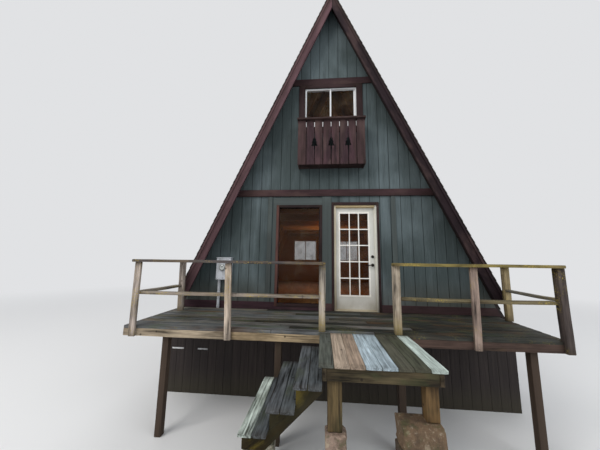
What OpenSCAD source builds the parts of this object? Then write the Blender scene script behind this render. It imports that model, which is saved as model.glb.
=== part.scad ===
// A-frame cabin on a crawl space, with a front deck, a landing with side steps and a loft balcony.
// Lengths are millimetres. The origin is on the lowest ground, below the middle of the outline.
// +X is to the right of the door, +Y runs from the facade to the back, +Z is up.

/* [Cabin] */
// half width of the facade at floor level
half_w = 3037; // [2400:1:3600]
// height of the facade's peak above the floor
peak_h = 6709; // [5000:1:8000]
// distance between the outer faces of the front and rear walls
depth = 7320; // [4800:10:9600]
// height of the floor and the deck above the lowest ground
floor_h = 1450; // [400:10:2000]
// thickness of the end walls
wall_t = 120; // [90:1:200]
// thickness of the crawl space walls
skirt_t = 50; // [25:1:150]
// thickness of the floor boards
board_t = 38; // [20:1:60]
// top of the loft floor above the main floor
loft_z = 2400; // [2100:10:2700]

/* [Roof] */
// distance that the roof runs past each end wall, to the face of the rake board
over = 306; // [150:1:600]
// thickness of the roof planks, measured level
plank_d = 56; // [30:1:90]
// thickness of the shingles, measured level
shingle_d = 22; // [8:1:40]
// depth of the rafters, measured level
rafter_d = 202; // [120:1:300]
// width of a rafter
rafter_w = 89; // [38:1:140]
// number of rafter pairs
rafter_n = 7; // [3:1:13]
// how far the eaves reach below the floor
eave_z = 150; // [0:10:400]
// height of the front overhang's foot above the deck
foot_z = 282; // [150:1:600]
// level width of the rake boards
rake_d = 177; // [100:1:300]
// thickness of the rake boards
rake_t = 38; // [19:1:50]

/* [Facade trim] */
// underside of the belt board above the floor
belt_z = 2270; // [2000:10:2600]
// height of the belt board
belt_h = 140; // [80:5:240]
// underside of the gable board above the floor
gable_z = 4795; // [4200:5:5400]
// height of the gable board
gable_h = 150; // [80:5:200]
// height of the base boards
base_h = 140; // [80:5:240]
// thickness of the trim boards
trim_t = 22; // [12:1:40]
// thickness of the belt board
belt_t = 38; // [19:1:50]
// width of the upright trim boards
batten_w = 90; // [60:5:200]

/* [Door] */
// left side of the door frame
door_x = 30; // [-500:5:800]
// width over the door frame
door_w = 855; // [700:1:1100]
// height of the door opening
door_h = 2084; // [1900:1:2300]
// thickness of the jambs
jamb_t = 38; // [18:1:45]
// thickness of the door
slab_t = 44; // [35:1:60]
// air gap around the door
door_gap = 5; // [3:0.5:10]
// width of the brown casing
casing_w = 42; // [30:1:120]
// panes across the door
lite_cols = 3; // [1:1:4]
// panes up the door
lite_rows = 5; // [1:1:7]
// width of a glazing bar
bar_w = 20; // [10:1:40]

/* [Windows] */
// left side of the tall window
tall_x = -1143; // [-2000:1:-1000]
// width of the tall window
tall_w = 940; // [500:5:1100]
// underside of the tall window
tall_z = 60; // [0:5:600]
// height of the tall window
tall_h = 2027; // [1000:1:2150]
// face width of the tall window's frame
tall_frame = 52; // [40:1:120]
// width of a sliding window
slider_w = 1110; // [600:10:1300]
// height of a sliding window
slider_h = 955; // [600:5:1300]
// face width of a sliding window's frame
slider_frame = 34; // [28:1:90]
// face height of its head
slider_head = 27; // [25:1:90]
// face width of its right jamb, where the handle is
slider_jamb = 54; // [30:1:100]
// face height of the upper window's sill
slider_sill = 230; // [44:1:260]
// underside of the upper window above the floor
upper_z = 3765; // [3200:5:3900]
// width of the casing round a sliding window
slider_casing = 130; // [60:1:140]
// height of its head casing
casing_head = 74; // [40:1:140]
// height of its casing under the sill
casing_sill = 92; // [40:1:140]

/* [Balcony] */
// width of the balcony
balcony_w = 1344; // [900:4:1600]
// underside of the balcony boards above the floor
balcony_z = 2850; // [2500:10:3200]
// height of the balcony boards
balcony_h = 945; // [700:5:1100]
// distance from the wall to the front of the boards
balcony_d = 293; // [150:1:800]
// number of balcony boards
balcony_n = 8; // [4:2:12]
// gap between the balcony boards
balcony_gap = 14; // [4:1:22]
// height of a fir tree cut-out
tree_h = 195; // [100:5:300]
// width of a fir tree cut-out
tree_w = 136; // [60:2:140]

/* [Deck] */
// left edge of the deck
deck_x0 = -3030; // [-3600:10:-2400]
// right end of the deck at its front edge
deck_x1 = 2851; // [2500:1:3000]
// how much further right the deck reaches at the wall
deck_skew = 120; // [0:1:160]
// depth of the deck in front of the wall
deck_d = 1520; // [900:10:3000]
// number of deck boards
deck_n = 10; // [4:1:20]
// height of the deck's joists and rims
joist_h = 102; // [80:1:240]
// width of the joists
joist_w = 38; // [30:1:60]
// side of the square posts
post_s = 89; // [70:1:140]
// top of the rail above the deck
rail_z = 933; // [800:1:1100]
// top of the middle rail above the deck
mid_z = 474; // [300:1:600]
// width of the middle rail, which lies flat
mid_w = 120; // [60:5:140]
// depth of the outer posts, which lap the rim
lap_t = 40; // [30:1:60]
// gap between boards
board_gap = 6; // [2:1:15]

/* [Landing and steps] */
// left edge of the landing
land_x = -240; // [-600:10:200]
// number of landing boards
land_n = 8; // [4:1:12]
// spacing of the landing boards
land_pitch = 143; // [100:1:160]
// depth of the landing
land_d = 1060; // [600:10:1800]
// thickness of the landing boards
land_t = 30; // [20:1:45]
// side of the landing's legs
leg_s = 115; // [80:1:160]
// number of treads
tread_n = 3; // [2:1:4]
// drop from the landing to the first tread
first_drop = 155; // [120:1:200]
// rise of each step
rise = 200; // [150:1:210]
// going of each step
going = 240; // [220:5:250]
// width of a tread's board
tread_b = 124; // [110:1:126]
// length of a tread
tread_l = 1100; // [700:10:1500]

/* [Meter] */
// left side of the meter box
meter_x = -2315; // [-2600:5:-1600]
// underside of the meter box above the floor
meter_z = 557; // [300:1:1500]
// width of the meter box
meter_w = 290; // [200:5:400]
// height of the meter box
meter_h = 420; // [250:5:600]

/* [Hidden] */
slope = peak_h / half_w;
roof_d = plank_d + shingle_d;
pitch_angle = atan(slope);
front_y = -(deck_d + land_d + 100);
back_y = depth + over + trim_t + 10;
facade_y = -(front_y + back_y) / 2;
split_z = belt_z + belt_h / 2;
slab_x0 = door_x + jamb_t + door_gap;
slab_x1 = door_x + door_w - jamb_t - door_gap - 2;
slab_z0 = 27;
slab_z1 = door_h - jamb_t - door_gap - 1;
slab_y = wall_t - 6 - slab_t;
slab_mid = (slab_x0 + slab_x1) / 2;
lite_w = 559;
lite_mid = slab_mid - 16;
lite_z0 = 296;
lite_z1 = 1922;
lip = 13;
meet = 16;
fit = 0.5;
rim_low = -board_t - joist_h;
corner_x = deck_x1 - post_s;
corner_y = -deck_d - lap_t + post_s;
skirt_y = -300;
hinge_x = slab_x0 - 2;
hinge_y = wall_t + 6;
slider_x = -25 - slider_w / 2;
rear_low_z = 1000;
rear_x = 1000;
balcony_x = -26 - balcony_w / 2;
balcony_t = 25;
cap_t = 38;
rail_t = 38;
back_post_y = -over - 125;
land_w = land_n * land_pitch;
land_y = -deck_d - land_d;
land_low = -land_t - 115;

// half width of the facade at a height above the floor
function half_at(z) = half_w - z / slope;

// a block between two corners, measured from the middle of the facade at floor level
module block(x0, x1, y0, y1, z0, z1) {
    translate([x0, facade_y + y0, floor_h + z0])
        cube([x1 - x0, y1 - y0, z1 - z0]);
}

// a drawing in X and Z, given thickness from y0 back to y1
module upright(y0, y1) {
    translate([0, facade_y + y1, floor_h])
        rotate([90, 0, 0])
            linear_extrude(y1 - y0)
                children();
}

module rect(x0, x1, z0, z1) {
    translate([x0, z0])
        square([x1 - x0, z1 - z0]);
}

// the part of the facade between two heights, drawn back from the roof by a margin
module facade_slice(z0, z1, margin = fit) {
    polygon([
        [-half_at(z0) + margin, z0],
        [half_at(z0) - margin, z0],
        [max(half_at(z1) - margin, 0), z1],
        [-max(half_at(z1) - margin, 0), z1]
    ]);
}

// one roof layer on the right side, between two level distances out from the facade's edge
module roof_layer(d0, d1, z0, gap) {
    polygon([
        [half_w + d0 - z0 / slope, z0],
        [half_w + d1 - z0 / slope, z0],
        [gap, (half_w + d1 - gap) * slope],
        [gap, (half_w + d0 - gap) * slope]
    ]);
}

module both_sides() {
    children();
    mirror([1, 0, 0])
        children();
}

// a frame round an opening, with its face width
module ring(x0, x1, z0, z1, face) {
    difference() {
        rect(x0, x1, z0, z1);
        rect(x0 + face, x1 - face, z0 + face, z1 - face);
    }
}

module slider_opening(x0, z0) {
    rect(x0, x0 + slider_w, z0, z0 + slider_h);
}

// every sliding window: left side, underside and which end of the cabin it is in
function sliders() = [
    [slider_x, upper_z, 0],
    [-slider_w / 2, 3300, 1],
    [-rear_x - slider_w / 2, rear_low_z, 1],
    [rear_x - slider_w / 2, rear_low_z, 1]
];

// the front wall of the crawl space stands a little forward, under the deck
module crawl_walls_ends() {
    edge = half_w - 8;
    color([0.24, 0.17, 0.15]) {
        upright(skirt_y, skirt_y + skirt_t)
            difference() {
                rect(-edge, edge, -floor_h, rim_low - 2);
                rect(-2995, -2765, -705, -677);
                rect(-2500, -2305, -705, -677);
            }
        upright(2, 2 + skirt_t)
            rect(-edge + skirt_t, edge - skirt_t, -board_t - 235, -board_t);
        upright(depth - 2 - skirt_t, depth - 2)
            rect(-edge, edge, -floor_h, -board_t);
    }
}

module crawl_walls_sides() {
    color([0.24, 0.17, 0.15])
        for (x = [-half_w + 8, half_w - 8 - skirt_t])
            union() {
                block(x, x + skirt_t, skirt_y + skirt_t, 3, -floor_h, rim_low - 2);
                block(x, x + skirt_t, 2, depth - 2 - skirt_t, -floor_h, -board_t);
            }
}

module main_floor() {
    color([0.62, 0.42, 0.25])
        block(-half_w + 2, half_w - 2, 0, depth, -board_t, 0);
}

module loft_floor() {
    w = half_at(loft_z) - rafter_d - 2;
    color([0.62, 0.42, 0.25])
        block(-w, w, wall_t, depth - wall_t, loft_z - board_t, loft_z);
}

module floor_joists() {
    inner = half_w - 8 - skirt_t;
    w = half_at(loft_z - board_t) - rafter_d - 2;
    color([0.55, 0.38, 0.24])
        for (i = [0 : rafter_n - 1]) {
            y = rafter_y(i);
            block(-inner, inner, y, y + rafter_w, -board_t - 235, -board_t);
            block(-w, w, y, y + rafter_w, loft_z - board_t - 184, loft_z - board_t);
        }
}

function rafter_y(i) = wall_t + i * (depth - 2 * wall_t - rafter_w) / (rafter_n - 1);

module rafters() {
    color([0.55, 0.38, 0.24])
        for (i = [0 : rafter_n - 1])
            both_sides()
                upright(rafter_y(i), rafter_y(i) + rafter_w)
                    roof_layer(-rafter_d, -fit, 0, 1);
}

// cuts the front overhang off above the deck
module above_deck(low) {
    difference() {
        children();
        block(half_w - 600, half_w + 400, -over - 100, -1, -eave_z - 100, low);
    }
}

module roof_deck() {
    color([0.50, 0.36, 0.25])
        both_sides()
            above_deck(foot_z)
                upright(-over + rake_t, depth + over - rake_t)
                    roof_layer(0, plank_d, -eave_z, 1);
}

module shingles() {
    color([0.20, 0.18, 0.17])
        both_sides()
            above_deck(foot_z - 18)
                upright(-over - trim_t - 10, depth + over + trim_t + 10)
                    roof_layer(plank_d, roof_d, -eave_z - 18, 1);
}

module ridge_cap() {
    top = (half_w + roof_d) * slope + 0.05;
    fall = 150;
    color([0.18, 0.16, 0.15])
        both_sides()
            upright(-over - trim_t - 10, depth + over + trim_t + 10)
                polygon([
                    [0.5, top - 0.5 * slope], [0.5, top + 7.5 * slope],
                    [fall / slope + 8, top - fall], [fall / slope, top - fall]
                ]);
}

// a wide rake board on each side, with a narrower strip along its upper edge
module rake_pair(y0, y1, strip0, strip1, foot) {
    both_sides()
        union() {
            upright(y0, y1)
                roof_layer(plank_d - rake_d, plank_d - 1, foot, 1);
            upright(strip0, strip1)
                roof_layer(plank_d - 46, plank_d - 1, foot, 1);
        }
}

module rake_boards() {
    color([0.30, 0.19, 0.18]) {
        rake_pair(-over, -over + rake_t, -over - 19, -over, foot_z);
        rake_pair(depth + over - rake_t, depth + over, depth + over, depth + over + 19, -eave_z);
    }
}

module front_wall() {
    color([0.29, 0.33, 0.32])
        upright(0, wall_t)
            difference() {
                facade_slice(0, split_z);
                rect(door_x, door_x + door_w, -1, split_z + 1);
                rect(tall_x, tall_x + tall_w, tall_z, tall_z + tall_h);
            }
}

module front_wall_over() {
    color([0.29, 0.33, 0.32])
        upright(0, wall_t)
            rect(door_x, door_x + door_w, door_h, split_z);
}

module front_gable() {
    color([0.29, 0.33, 0.32])
        upright(0, wall_t)
            difference() {
                facade_slice(split_z, peak_h);
                slider_opening(slider_x, upper_z);
            }
}

module rear_wall() {
    color([0.29, 0.33, 0.32])
        upright(depth - wall_t, depth)
            difference() {
                facade_slice(0, split_z);
                for (s = sliders())
                    if (s[2] == 1)
                        slider_opening(s[0], s[1]);
            }
}

module rear_gable() {
    color([0.29, 0.33, 0.32])
        upright(depth - wall_t, depth)
            difference() {
                facade_slice(split_z, peak_h);
                slider_opening(-slider_w / 2, 3300);
            }
}

module band(z0, z1, thick) {
    upright(-thick, 0)
        facade_slice(z0, z1, 3);
    upright(depth, depth + thick)
        facade_slice(z0, z1, 3);
}

module facade_bands() {
    color([0.30, 0.19, 0.18]) {
        band(belt_z, belt_z + belt_h, belt_t);
        band(gable_z, gable_z + gable_h, trim_t);
        upright(-trim_t, 0)
            difference() {
                facade_slice(3, base_h, 3);
                rect(tall_x - 2, tall_x + tall_w + 2, tall_z - 2, base_h + 1);
                rect(door_x - casing_w - 2, door_x + door_w + casing_w + 2, 0, base_h + 1);
            }
        upright(depth, depth + trim_t)
            facade_slice(3, base_h, 3);
    }
}

// upright battens, and flat boards that frame the tall window on three sides
module wall_battens() {
    window_top = tall_z + tall_h;
    window_end = tall_x + tall_w;
    color([0.30, 0.35, 0.33]) {
        for (x = [-1281, 1213]) {
            green_board(x - batten_w / 2, x + batten_w / 2, base_h + 1, belt_z - 1);
            block(-x - batten_w / 2, -x + batten_w / 2, depth, depth + 19,
                base_h + 1, rear_low_z - casing_sill - 2);
        }
        green_board(tall_x - 72, tall_x - 1, base_h + 1, window_top);
        green_board(tall_x - 72, window_end, window_top + 1, belt_z - 28);
        green_board(window_end + 1, door_x - casing_w - 1, base_h + 1, belt_z - 1);
    }
}

module green_board(x0, x1, z0, z1) {
    block(x0, x1, -19, 0, z0, z1);
}

module door_casing() {
    color([0.26, 0.17, 0.16])
        upright(-28, 0)
            difference() {
                rect(door_x - casing_w, door_x + door_w + casing_w, 3, door_h + casing_w + 14);
                rect(door_x + 3, door_x + door_w - 3, 0, door_h - 3);
            }
}

module door_frame() {
    color([0.83, 0.80, 0.72]) {
        upright(0, wall_t)
            difference() {
                rect(door_x, door_x + door_w, 0, door_h);
                rect(door_x + jamb_t, door_x + door_w - jamb_t, 22, door_h - jamb_t);
            }
        upright(slab_y - 30, slab_y - 6)
            difference() {
                rect(door_x + jamb_t, door_x + door_w - jamb_t, 22, door_h - jamb_t);
                rect(door_x + jamb_t + 12, door_x + door_w - jamb_t - 12, 21, door_h - jamb_t - 12);
            }
    }
}

module door_slab() {
    color([0.83, 0.80, 0.72])
        upright(slab_y, slab_y + slab_t)
            difference() {
                rect(slab_x0, slab_x1, slab_z0, slab_z1);
                rect(lite_mid - lite_w / 2 - lip, lite_mid + lite_w / 2 + lip,
                    lite_z0 - lip, lite_z1 + lip);
            }
}

// the rim and the bars of one face of the door, from y_rim to y_bar with the slab's face at y_face
module grille_side(y_face, y_rim, y_bar) {
    x0 = lite_mid - lite_w / 2;
    col = lite_w / lite_cols;
    row = (lite_z1 - lite_z0) / lite_rows;
    edge = lip - 1;
    union() {
        upright(min(y_face, y_rim), max(y_face, y_rim))
            ring(x0 - 30, x0 + lite_w + 30, lite_z0 - 30, lite_z1 + 30, 30);
        upright(min(y_rim, y_bar), max(y_rim, y_bar)) {
            ring(x0 - edge, x0 + lite_w + edge, lite_z0 - edge, lite_z1 + edge, edge);
            for (i = [1 : lite_cols - 1])
                rect(x0 + i * col - bar_w / 2, x0 + i * col + bar_w / 2, lite_z0 - 1, lite_z1 + 1);
            for (i = [1 : lite_rows - 1])
                translate([0, lite_z0 + i * row])
                    rect(x0 - 1, x0 + lite_w + 1, -bar_w / 2, bar_w / 2);
        }
    }
}

module door_grille() {
    inside = slab_y + slab_t;
    color([0.88, 0.87, 0.85]) {
        grille_side(slab_y, slab_y - 6, slab_y + 16);
        grille_side(inside, inside + 6, slab_y + 24);
    }
}

module door_glass() {
    color([0.25, 0.28, 0.28, 0.4])
        upright(slab_y + 17, slab_y + 23)
            rect(lite_mid - lite_w / 2 - lip + 1, lite_mid + lite_w / 2 + lip - 1,
                lite_z0 - lip + 1, lite_z1 + lip - 1);
}

// a round piece that points out of the door, from y0 back to y1
module turned(x, z, r, y0, y1) {
    translate([x, facade_y + y1, floor_h + z])
        rotate([90, 0, 0])
            cylinder(h = y1 - y0, r = r, $fn = 48);
}

module door_handle() {
    x = slab_x1 - 46;
    inside = slab_y + slab_t;
    color([0.10, 0.09, 0.08]) {
        turned(x, 1050, 28, slab_y - 16, slab_y);
        turned(x, 1050, 28, inside, inside + 12);
        lever(x, slab_y, -1);
        lever(x, inside, 1);
    }
}

// a rose, a neck and a tapered lever, out of the face at y toward the given side
module lever(x, y, out) {
    union() {
        turned(x, 884, 31, min(y, y + out * 9), max(y, y + out * 9));
        turned(x, 884, 11, min(y, y + out * 52), max(y, y + out * 52));
        hull() {
            turned(x, 884, 11, min(y + out * 40, y + out * 60), max(y + out * 40, y + out * 60));
            turned(x - 100, 880, 8, min(y + out * 42, y + out * 56), max(y + out * 42, y + out * 56));
        }
    }
}

function hinge_heights() = [slab_z0 + 200, (slab_z0 + slab_z1) / 2, slab_z1 - 200];

module knuckle(z0, z1) {
    translate([hinge_x, facade_y + hinge_y, floor_h + z0])
        cylinder(h = z1 - z0, r = 6, $fn = 32);
}

module hinge_frame_leaves() {
    color([0.62, 0.58, 0.50])
        for (z = hinge_heights()) {
            union() {
                block(hinge_x - 38, hinge_x - 7, wall_t, wall_t + 3, z - 50, z + 50);
                block(hinge_x - 8, hinge_x - 2, wall_t, hinge_y + 2, z - 50, z - 18);
                block(hinge_x - 8, hinge_x - 2, wall_t, hinge_y + 2, z + 18, z + 50);
                knuckle(z - 50, z - 18);
                knuckle(z + 18, z + 50);
            }
        }
}

module hinge_door_leaves() {
    inside = slab_y + slab_t;
    color([0.62, 0.58, 0.50])
        for (z = hinge_heights())
            union() {
                block(hinge_x + 10, hinge_x + 46, inside, inside + 3, z - 50, z + 50);
                block(hinge_x + 3, hinge_x + 14, inside + 0.01, hinge_y + 3, z - 16, z + 16);
                knuckle(z - 16, z + 16);
            }
}

// the frame, with a stop behind the pane
module tall_window_frame() {
    color([0.28, 0.18, 0.17])
        union() {
            upright(-26, 90)
                ring(tall_x, tall_x + tall_w, tall_z, tall_z + tall_h, tall_frame);
            upright(40, 58)
                ring(tall_x + 1, tall_x + tall_w - 1, tall_z + 1, tall_z + tall_h - 1, tall_frame + 13);
        }
}

// one sash of a sliding window, with a wider stile where the two meet
module sash(x0, x1, z0, z1, stile0, stile1, sill) {
    difference() {
        rect(x0, x1, z0, z1);
        rect(x0 + stile0, x1 - stile1, z0 + sill - 21, z1 - slider_head + 21);
    }
}

// the face height of a sliding window's sill at one end of the cabin
function sill_h(end) = end == 0 ? slider_sill : slider_frame;

// a white sliding window: an outer frame that holds two sashes, one behind the other
module slider_frame_at(x0, z0, y0, sill) {
    mid = x0 + slider_w / 2;
    x1 = x0 + slider_w;
    z1 = z0 + slider_h;
    narrow = slider_frame - 21;
    union() {
        upright(y0, y0 + 80)
            ring(x0, x1, z0, z1, 22);
        upright(y0 + 14, y0 + 40)
            sash(x0 + 21, mid + meet, z0 + 21, z1 - 21, narrow, 2 * meet, sill);
        upright(y0 + 42, y0 + 68)
            sash(mid - meet, x1 - 21, z0 + 21, z1 - 21, 2 * meet, slider_jamb - 21, sill);
    }
}

// distance from the wall's middle to a sliding window's outer face
function slider_y(end) = end == 0 ? 10 : depth - 90;

module slider_frames() {
    color([0.86, 0.86, 0.85])
        for (s = sliders())
            slider_frame_at(s[0], s[1], slider_y(s[2]), sill_h(s[2]));
}

module window_casings() {
    color([0.28, 0.18, 0.17])
        for (s = sliders())
            upright(s[2] == 0 ? -trim_t - 2 : depth, s[2] == 0 ? 0 : depth + trim_t + 2)
                difference() {
                    rect(s[0] - slider_casing, s[0] + slider_w + slider_casing,
                        s[1] - casing_sill, s[1] + slider_h + casing_head);
                    rect(s[0] + 4, s[0] + slider_w - 4, s[1] + 4, s[1] + slider_h - 4);
                }
}

module window_glass() {
    color([0.25, 0.28, 0.28, 0.4]) {
        upright(30, 40)
            rect(tall_x + tall_frame, tall_x + tall_w - tall_frame,
                tall_z + tall_frame, tall_z + tall_h - tall_frame);
        for (s = sliders()) {
            mid = s[0] + slider_w / 2;
            z0 = s[1] + sill_h(s[2]);
            z1 = s[1] + slider_h - slider_head;
            y0 = slider_y(s[2]);
            upright(y0 + 23, y0 + 31)
                rect(s[0] + slider_frame, mid - meet, z0, z1);
            upright(y0 + 51, y0 + 59)
                rect(mid + meet, s[0] + slider_w - slider_jamb, z0, z1);
        }
    }
}

// half of a fir tree of three tiers on a slot, on one side of its middle line
module half_tree(side) {
    polygon([
        [-side, -92],
        [side * 12, -92],
        [side * 12, 0],
        [side * tree_w / 2, 0],
        [side * tree_w * 0.27, tree_h * 0.36],
        [side * tree_w * 0.42, tree_h * 0.36],
        [side * tree_w * 0.18, tree_h * 0.68],
        [side * tree_w * 0.30, tree_h * 0.68],
        [-side, tree_h]
    ]);
}

// upright boards with gaps, and a fir tree cut across every second gap
module balcony_boards() {
    pitch = balcony_w / balcony_n;
    color([0.29, 0.19, 0.19])
        upright(-balcony_d, -balcony_d + balcony_t)
            difference() {
                rect(balcony_x, balcony_x + balcony_w, balcony_z, balcony_z + balcony_h);
                for (i = [1 : balcony_n - 1])
                    translate([balcony_x + i * pitch, 0])
                        rect(-balcony_gap / 2, balcony_gap / 2, balcony_z - 1, balcony_z + balcony_h + 1);
                for (i = [2 : 2 : balcony_n - 2])
                    translate([balcony_x + i * pitch, balcony_z + 390]) {
                        half_tree(1);
                        half_tree(-1);
                    }
            }
}

module balcony_box() {
    x1 = balcony_x + balcony_w;
    back = -balcony_d + balcony_t;
    color([0.26, 0.17, 0.17])
        union() {
            block(balcony_x + 4, x1 - 4, back, 0, balcony_z + 20, balcony_z + 58);
            for (x = [balcony_x + 4, x1 - 29])
                block(x, x + 25, back, -25, balcony_z, balcony_z + balcony_h);
            for (z = [balcony_z + 58, balcony_z + balcony_h - 217])
                block(balcony_x + 4, x1 - 4, back, back + 39, z, z + 89);
        }
}

module balcony_cap() {
    x1 = balcony_x + balcony_w;
    top = balcony_z + balcony_h;
    color([0.27, 0.18, 0.18])
        union() {
            block(balcony_x - 14, x1 + 14, -balcony_d - 57, -balcony_d + 76, top, top + cap_t);
            for (x = [balcony_x - 14, x1 - 54])
                block(x, x + 68, -balcony_d + 70, -25, top, top + cap_t);
        }
}

// the deck's right end isn't square to its front edge
function deck_end(y) = deck_x1 + deck_skew * (y + deck_d) / deck_d;

// the front board is notched for the corner post
module deck_boards() {
    pitch = deck_d / deck_n;
    color([0.36, 0.37, 0.37])
        for (i = [0 : deck_n - 1]) {
            y0 = -deck_d + i * pitch;
            y1 = y0 + pitch - board_gap;
            corner = i > 0 ? [[deck_end(y0), y0]] :
                [[corner_x - 1, y0], [corner_x - 1, corner_y + 1], [deck_end(corner_y), corner_y + 1]];
            level_plate(-board_t, 0)
                polygon(concat([[deck_x0, y0]], corner, [[deck_end(y1), y1], [deck_x0, y1]]));
        }
}

// a drawing in X and Y, given thickness from z0 up to z1
module level_plate(z0, z1) {
    translate([0, facade_y, floor_h + z0])
        linear_extrude(z1 - z0)
            children();
}

module deck_frame() {
    color([0.42, 0.37, 0.33]) {
        block(deck_x0, corner_x - 1, -deck_d, -deck_d + joist_w, rim_low, -board_t);
        block(deck_x0, deck_end(-joist_w), -joist_w, 0, rim_low, -board_t);
        for (i = [0 : 9]) {
            x = deck_x0 + i * (deck_x1 - deck_x0 - joist_w) / 10;
            block(x, x + joist_w, -deck_d + joist_w + 1, -joist_w - 1, rim_low, -board_t);
        }
        skewed(deck_end(corner_y) - joist_w, deck_end(-joist_w) - joist_w, joist_w,
            corner_y + 1, -joist_w - 1, rim_low, -board_t);
    }
}

module deck_posts() {
    color([0.22, 0.19, 0.17])
        for (x = [-2475, -850, 780, 2410])
            block(x, x + post_s, -deck_d + 70, -deck_d + 70 + post_s, -floor_h, rim_low);
}

// a post from its foot to the underside of the cap rail, which may lean sideways
module post(foot_x, top_x, y0, y1, low) {
    top = rail_z - rail_t;
    upright(y0, y1)
        polygon([
            [foot_x, low],
            [foot_x + post_s, low],
            [top_x + post_s, top],
            [top_x, top]
        ]);
}

// outer posts lap the rim from outside, the right corner post stands at the rim's end,
// and the two at the landing and the two at the back stand on the deck
module rail_posts() {
    color([0.55, 0.50, 0.42]) {
        for (x = [[-2925, -2930], [-1537, -1577], [1702, 1716]])
            post(x[0], x[1], -deck_d - lap_t, -deck_d, rim_low);
        post(corner_x, corner_x, -deck_d - lap_t, corner_y, rim_low);
        post(-250, -250, -deck_d + 30, -deck_d + 30 + post_s, 0);
        post(751, 751, -deck_d + 8, -deck_d + 8 + post_s, 0);
        post(-2890, -2905, back_post_y, back_post_y + post_s, 0);
        post(2876, 2881, back_post_y, back_post_y + post_s, 0);
    }
}

// a flat board that starts at x0 in front and ends at x1 behind
module skewed(x0, x1, wide, y0, y1, z0, z1) {
    level_plate(z0, z1)
        polygon([[x0, y0], [x0 + wide, y0], [x1 + wide, y1], [x1, y1]]);
}

// a flat cap rail over the posts and a flat middle rail behind them
module rails() {
    y0 = -deck_d - 78;
    y1 = -deck_d + 62;
    back = back_post_y + post_s - 6;
    low = mid_z - rail_t;
    color([0.57, 0.52, 0.44]) {
        block(-2955, -161, y0, y1, rail_z - rail_t, rail_z);
        block(742, 2838, y0, y1, rail_z - rail_t, rail_z);
        skewed(-2955, -2955, 140, y1 + 1, back, rail_z - rail_t, rail_z);
        skewed(2698, 2855, 140, y1 + 1, back, rail_z - rail_t, rail_z);
        block(-2955, -250, -deck_d, -deck_d + mid_w, low, mid_z);
        block(840, corner_x - 1, -deck_d, -deck_d + mid_w, low, mid_z);
        skewed(-2955, -2955, mid_w, -deck_d + mid_w + 1, back_post_y, low, mid_z);
        skewed(corner_x, 2876, post_s, corner_y, back_post_y, low + 42, mid_z + 42);
    }
}

module landing_boards() {
    sink = [6, 0, 0, 0, 0, 5, 5, 0];
    color([0.52, 0.48, 0.40])
        for (i = [0 : land_n - 1]) {
            x = land_x + i * land_pitch;
            block(x, x + land_pitch - 4, land_y + sink[i], -deck_d - 1, -land_t, 0);
        }
}

// two side rims that run through to the front, with a front rim and a joist between them
module landing_frame() {
    x0 = land_x + 35;
    x1 = land_x + land_w - 36;
    mid = (x0 + x1 - joist_w) / 2;
    y0 = land_y + 14;
    color([0.33, 0.28, 0.20]) {
        for (x = [x0, mid, x1 - joist_w])
            block(x, x + joist_w, x == mid ? y0 + 5 + joist_w : y0, -deck_d, land_low, -land_t);
        block(x0 + joist_w + 1, x1 - joist_w - 1, y0 + 4, y0 + 4 + joist_w, land_low, -land_t);
    }
}

// legs in the corners of the landing's frame, up to the boards
module landing_legs() {
    y0 = land_y + 56;
    color([0.36, 0.31, 0.20]) {
        block(land_x + 81, land_x + 215, y0, y0 + leg_s, -585, -land_t);
        block(land_x + land_w - 190, land_x + land_w - 190 + leg_s, y0, y0 + leg_s, -455, -land_t);
    }
}

// masonry blocks under the legs and the stringers, down to the lowest ground
module block_piers() {
    y0 = land_y + 56;
    foot = tread_x(tread_n);
    color([0.60, 0.58, 0.52]) {
        block(land_x + 53, land_x + 258, y0 - 50, y0 + 150, -floor_h, -585);
        block(land_x + 700, land_x + 1100, y0 - 96, y0 + 164, -floor_h, -455);
        for (y = stringer_ys())
            block(foot - 6, foot + 184, y - 76, y + 114, -floor_h, stringer_low());
    }
}

function tread_x(i) = land_x - 224 - (i - 1) * going;
function tread_z(i) = -first_drop - (i - 1) * rise;
function stringer_ys() = [land_y + 30, -deck_d - 200];
function stringer_low() = tread_z(tread_n) - 205;

// two boards a tread, proud of the stringers at both ends
module stair_treads() {
    y0 = land_y - 100;
    color([0.30, 0.31, 0.30])
        for (i = [1 : tread_n])
            for (x = [tread_x(i), tread_x(i) + tread_b + board_gap])
                block(x, x + tread_b, y0, y0 + tread_l, tread_z(i) - land_t, tread_z(i));
}

// cut stringers, notched for each tread and sawn square over their piers
module stair_stringers() {
    x1 = land_x + 35;
    wide = 2 * tread_b + board_gap;
    foot = tread_x(tread_n) + 4;
    low = stringer_low();
    color([0.40, 0.36, 0.18])
        for (y = stringer_ys())
            upright(y, y + joist_w)
                polygon(concat(
                    [[x1, tread_z(1) - land_t]],
                    [for (i = [2 : tread_n]) each [
                        [tread_x(i) + wide + 1, tread_z(i - 1) - land_t],
                        [tread_x(i) + wide + 1, tread_z(i) - land_t]
                    ]],
                    [
                        [foot, tread_z(tread_n) - land_t],
                        [foot, low],
                        [foot + 214, low],
                        [x1, tread_z(1) - land_t - 68]
                    ]
                ));
}

module meter_box() {
    x = meter_x + 50;
    color([0.45, 0.45, 0.44])
        union() {
            block(meter_x, meter_x + meter_w, -120, 0, meter_z, meter_z + meter_h);
            block(meter_x - 6, meter_x + meter_w + 6, -128, 0, meter_z + meter_h, meter_z + meter_h + 18);
            translate([x, facade_y - 50, floor_h + 5])
                cylinder(h = meter_z - 4, r = 27, $fn = 32);
        }
}

module meter_dial() {
    color([0.62, 0.64, 0.64])
        turned(meter_x + meter_w / 2 - 15, meter_z + 235, 72, -165, -120);
}

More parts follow.
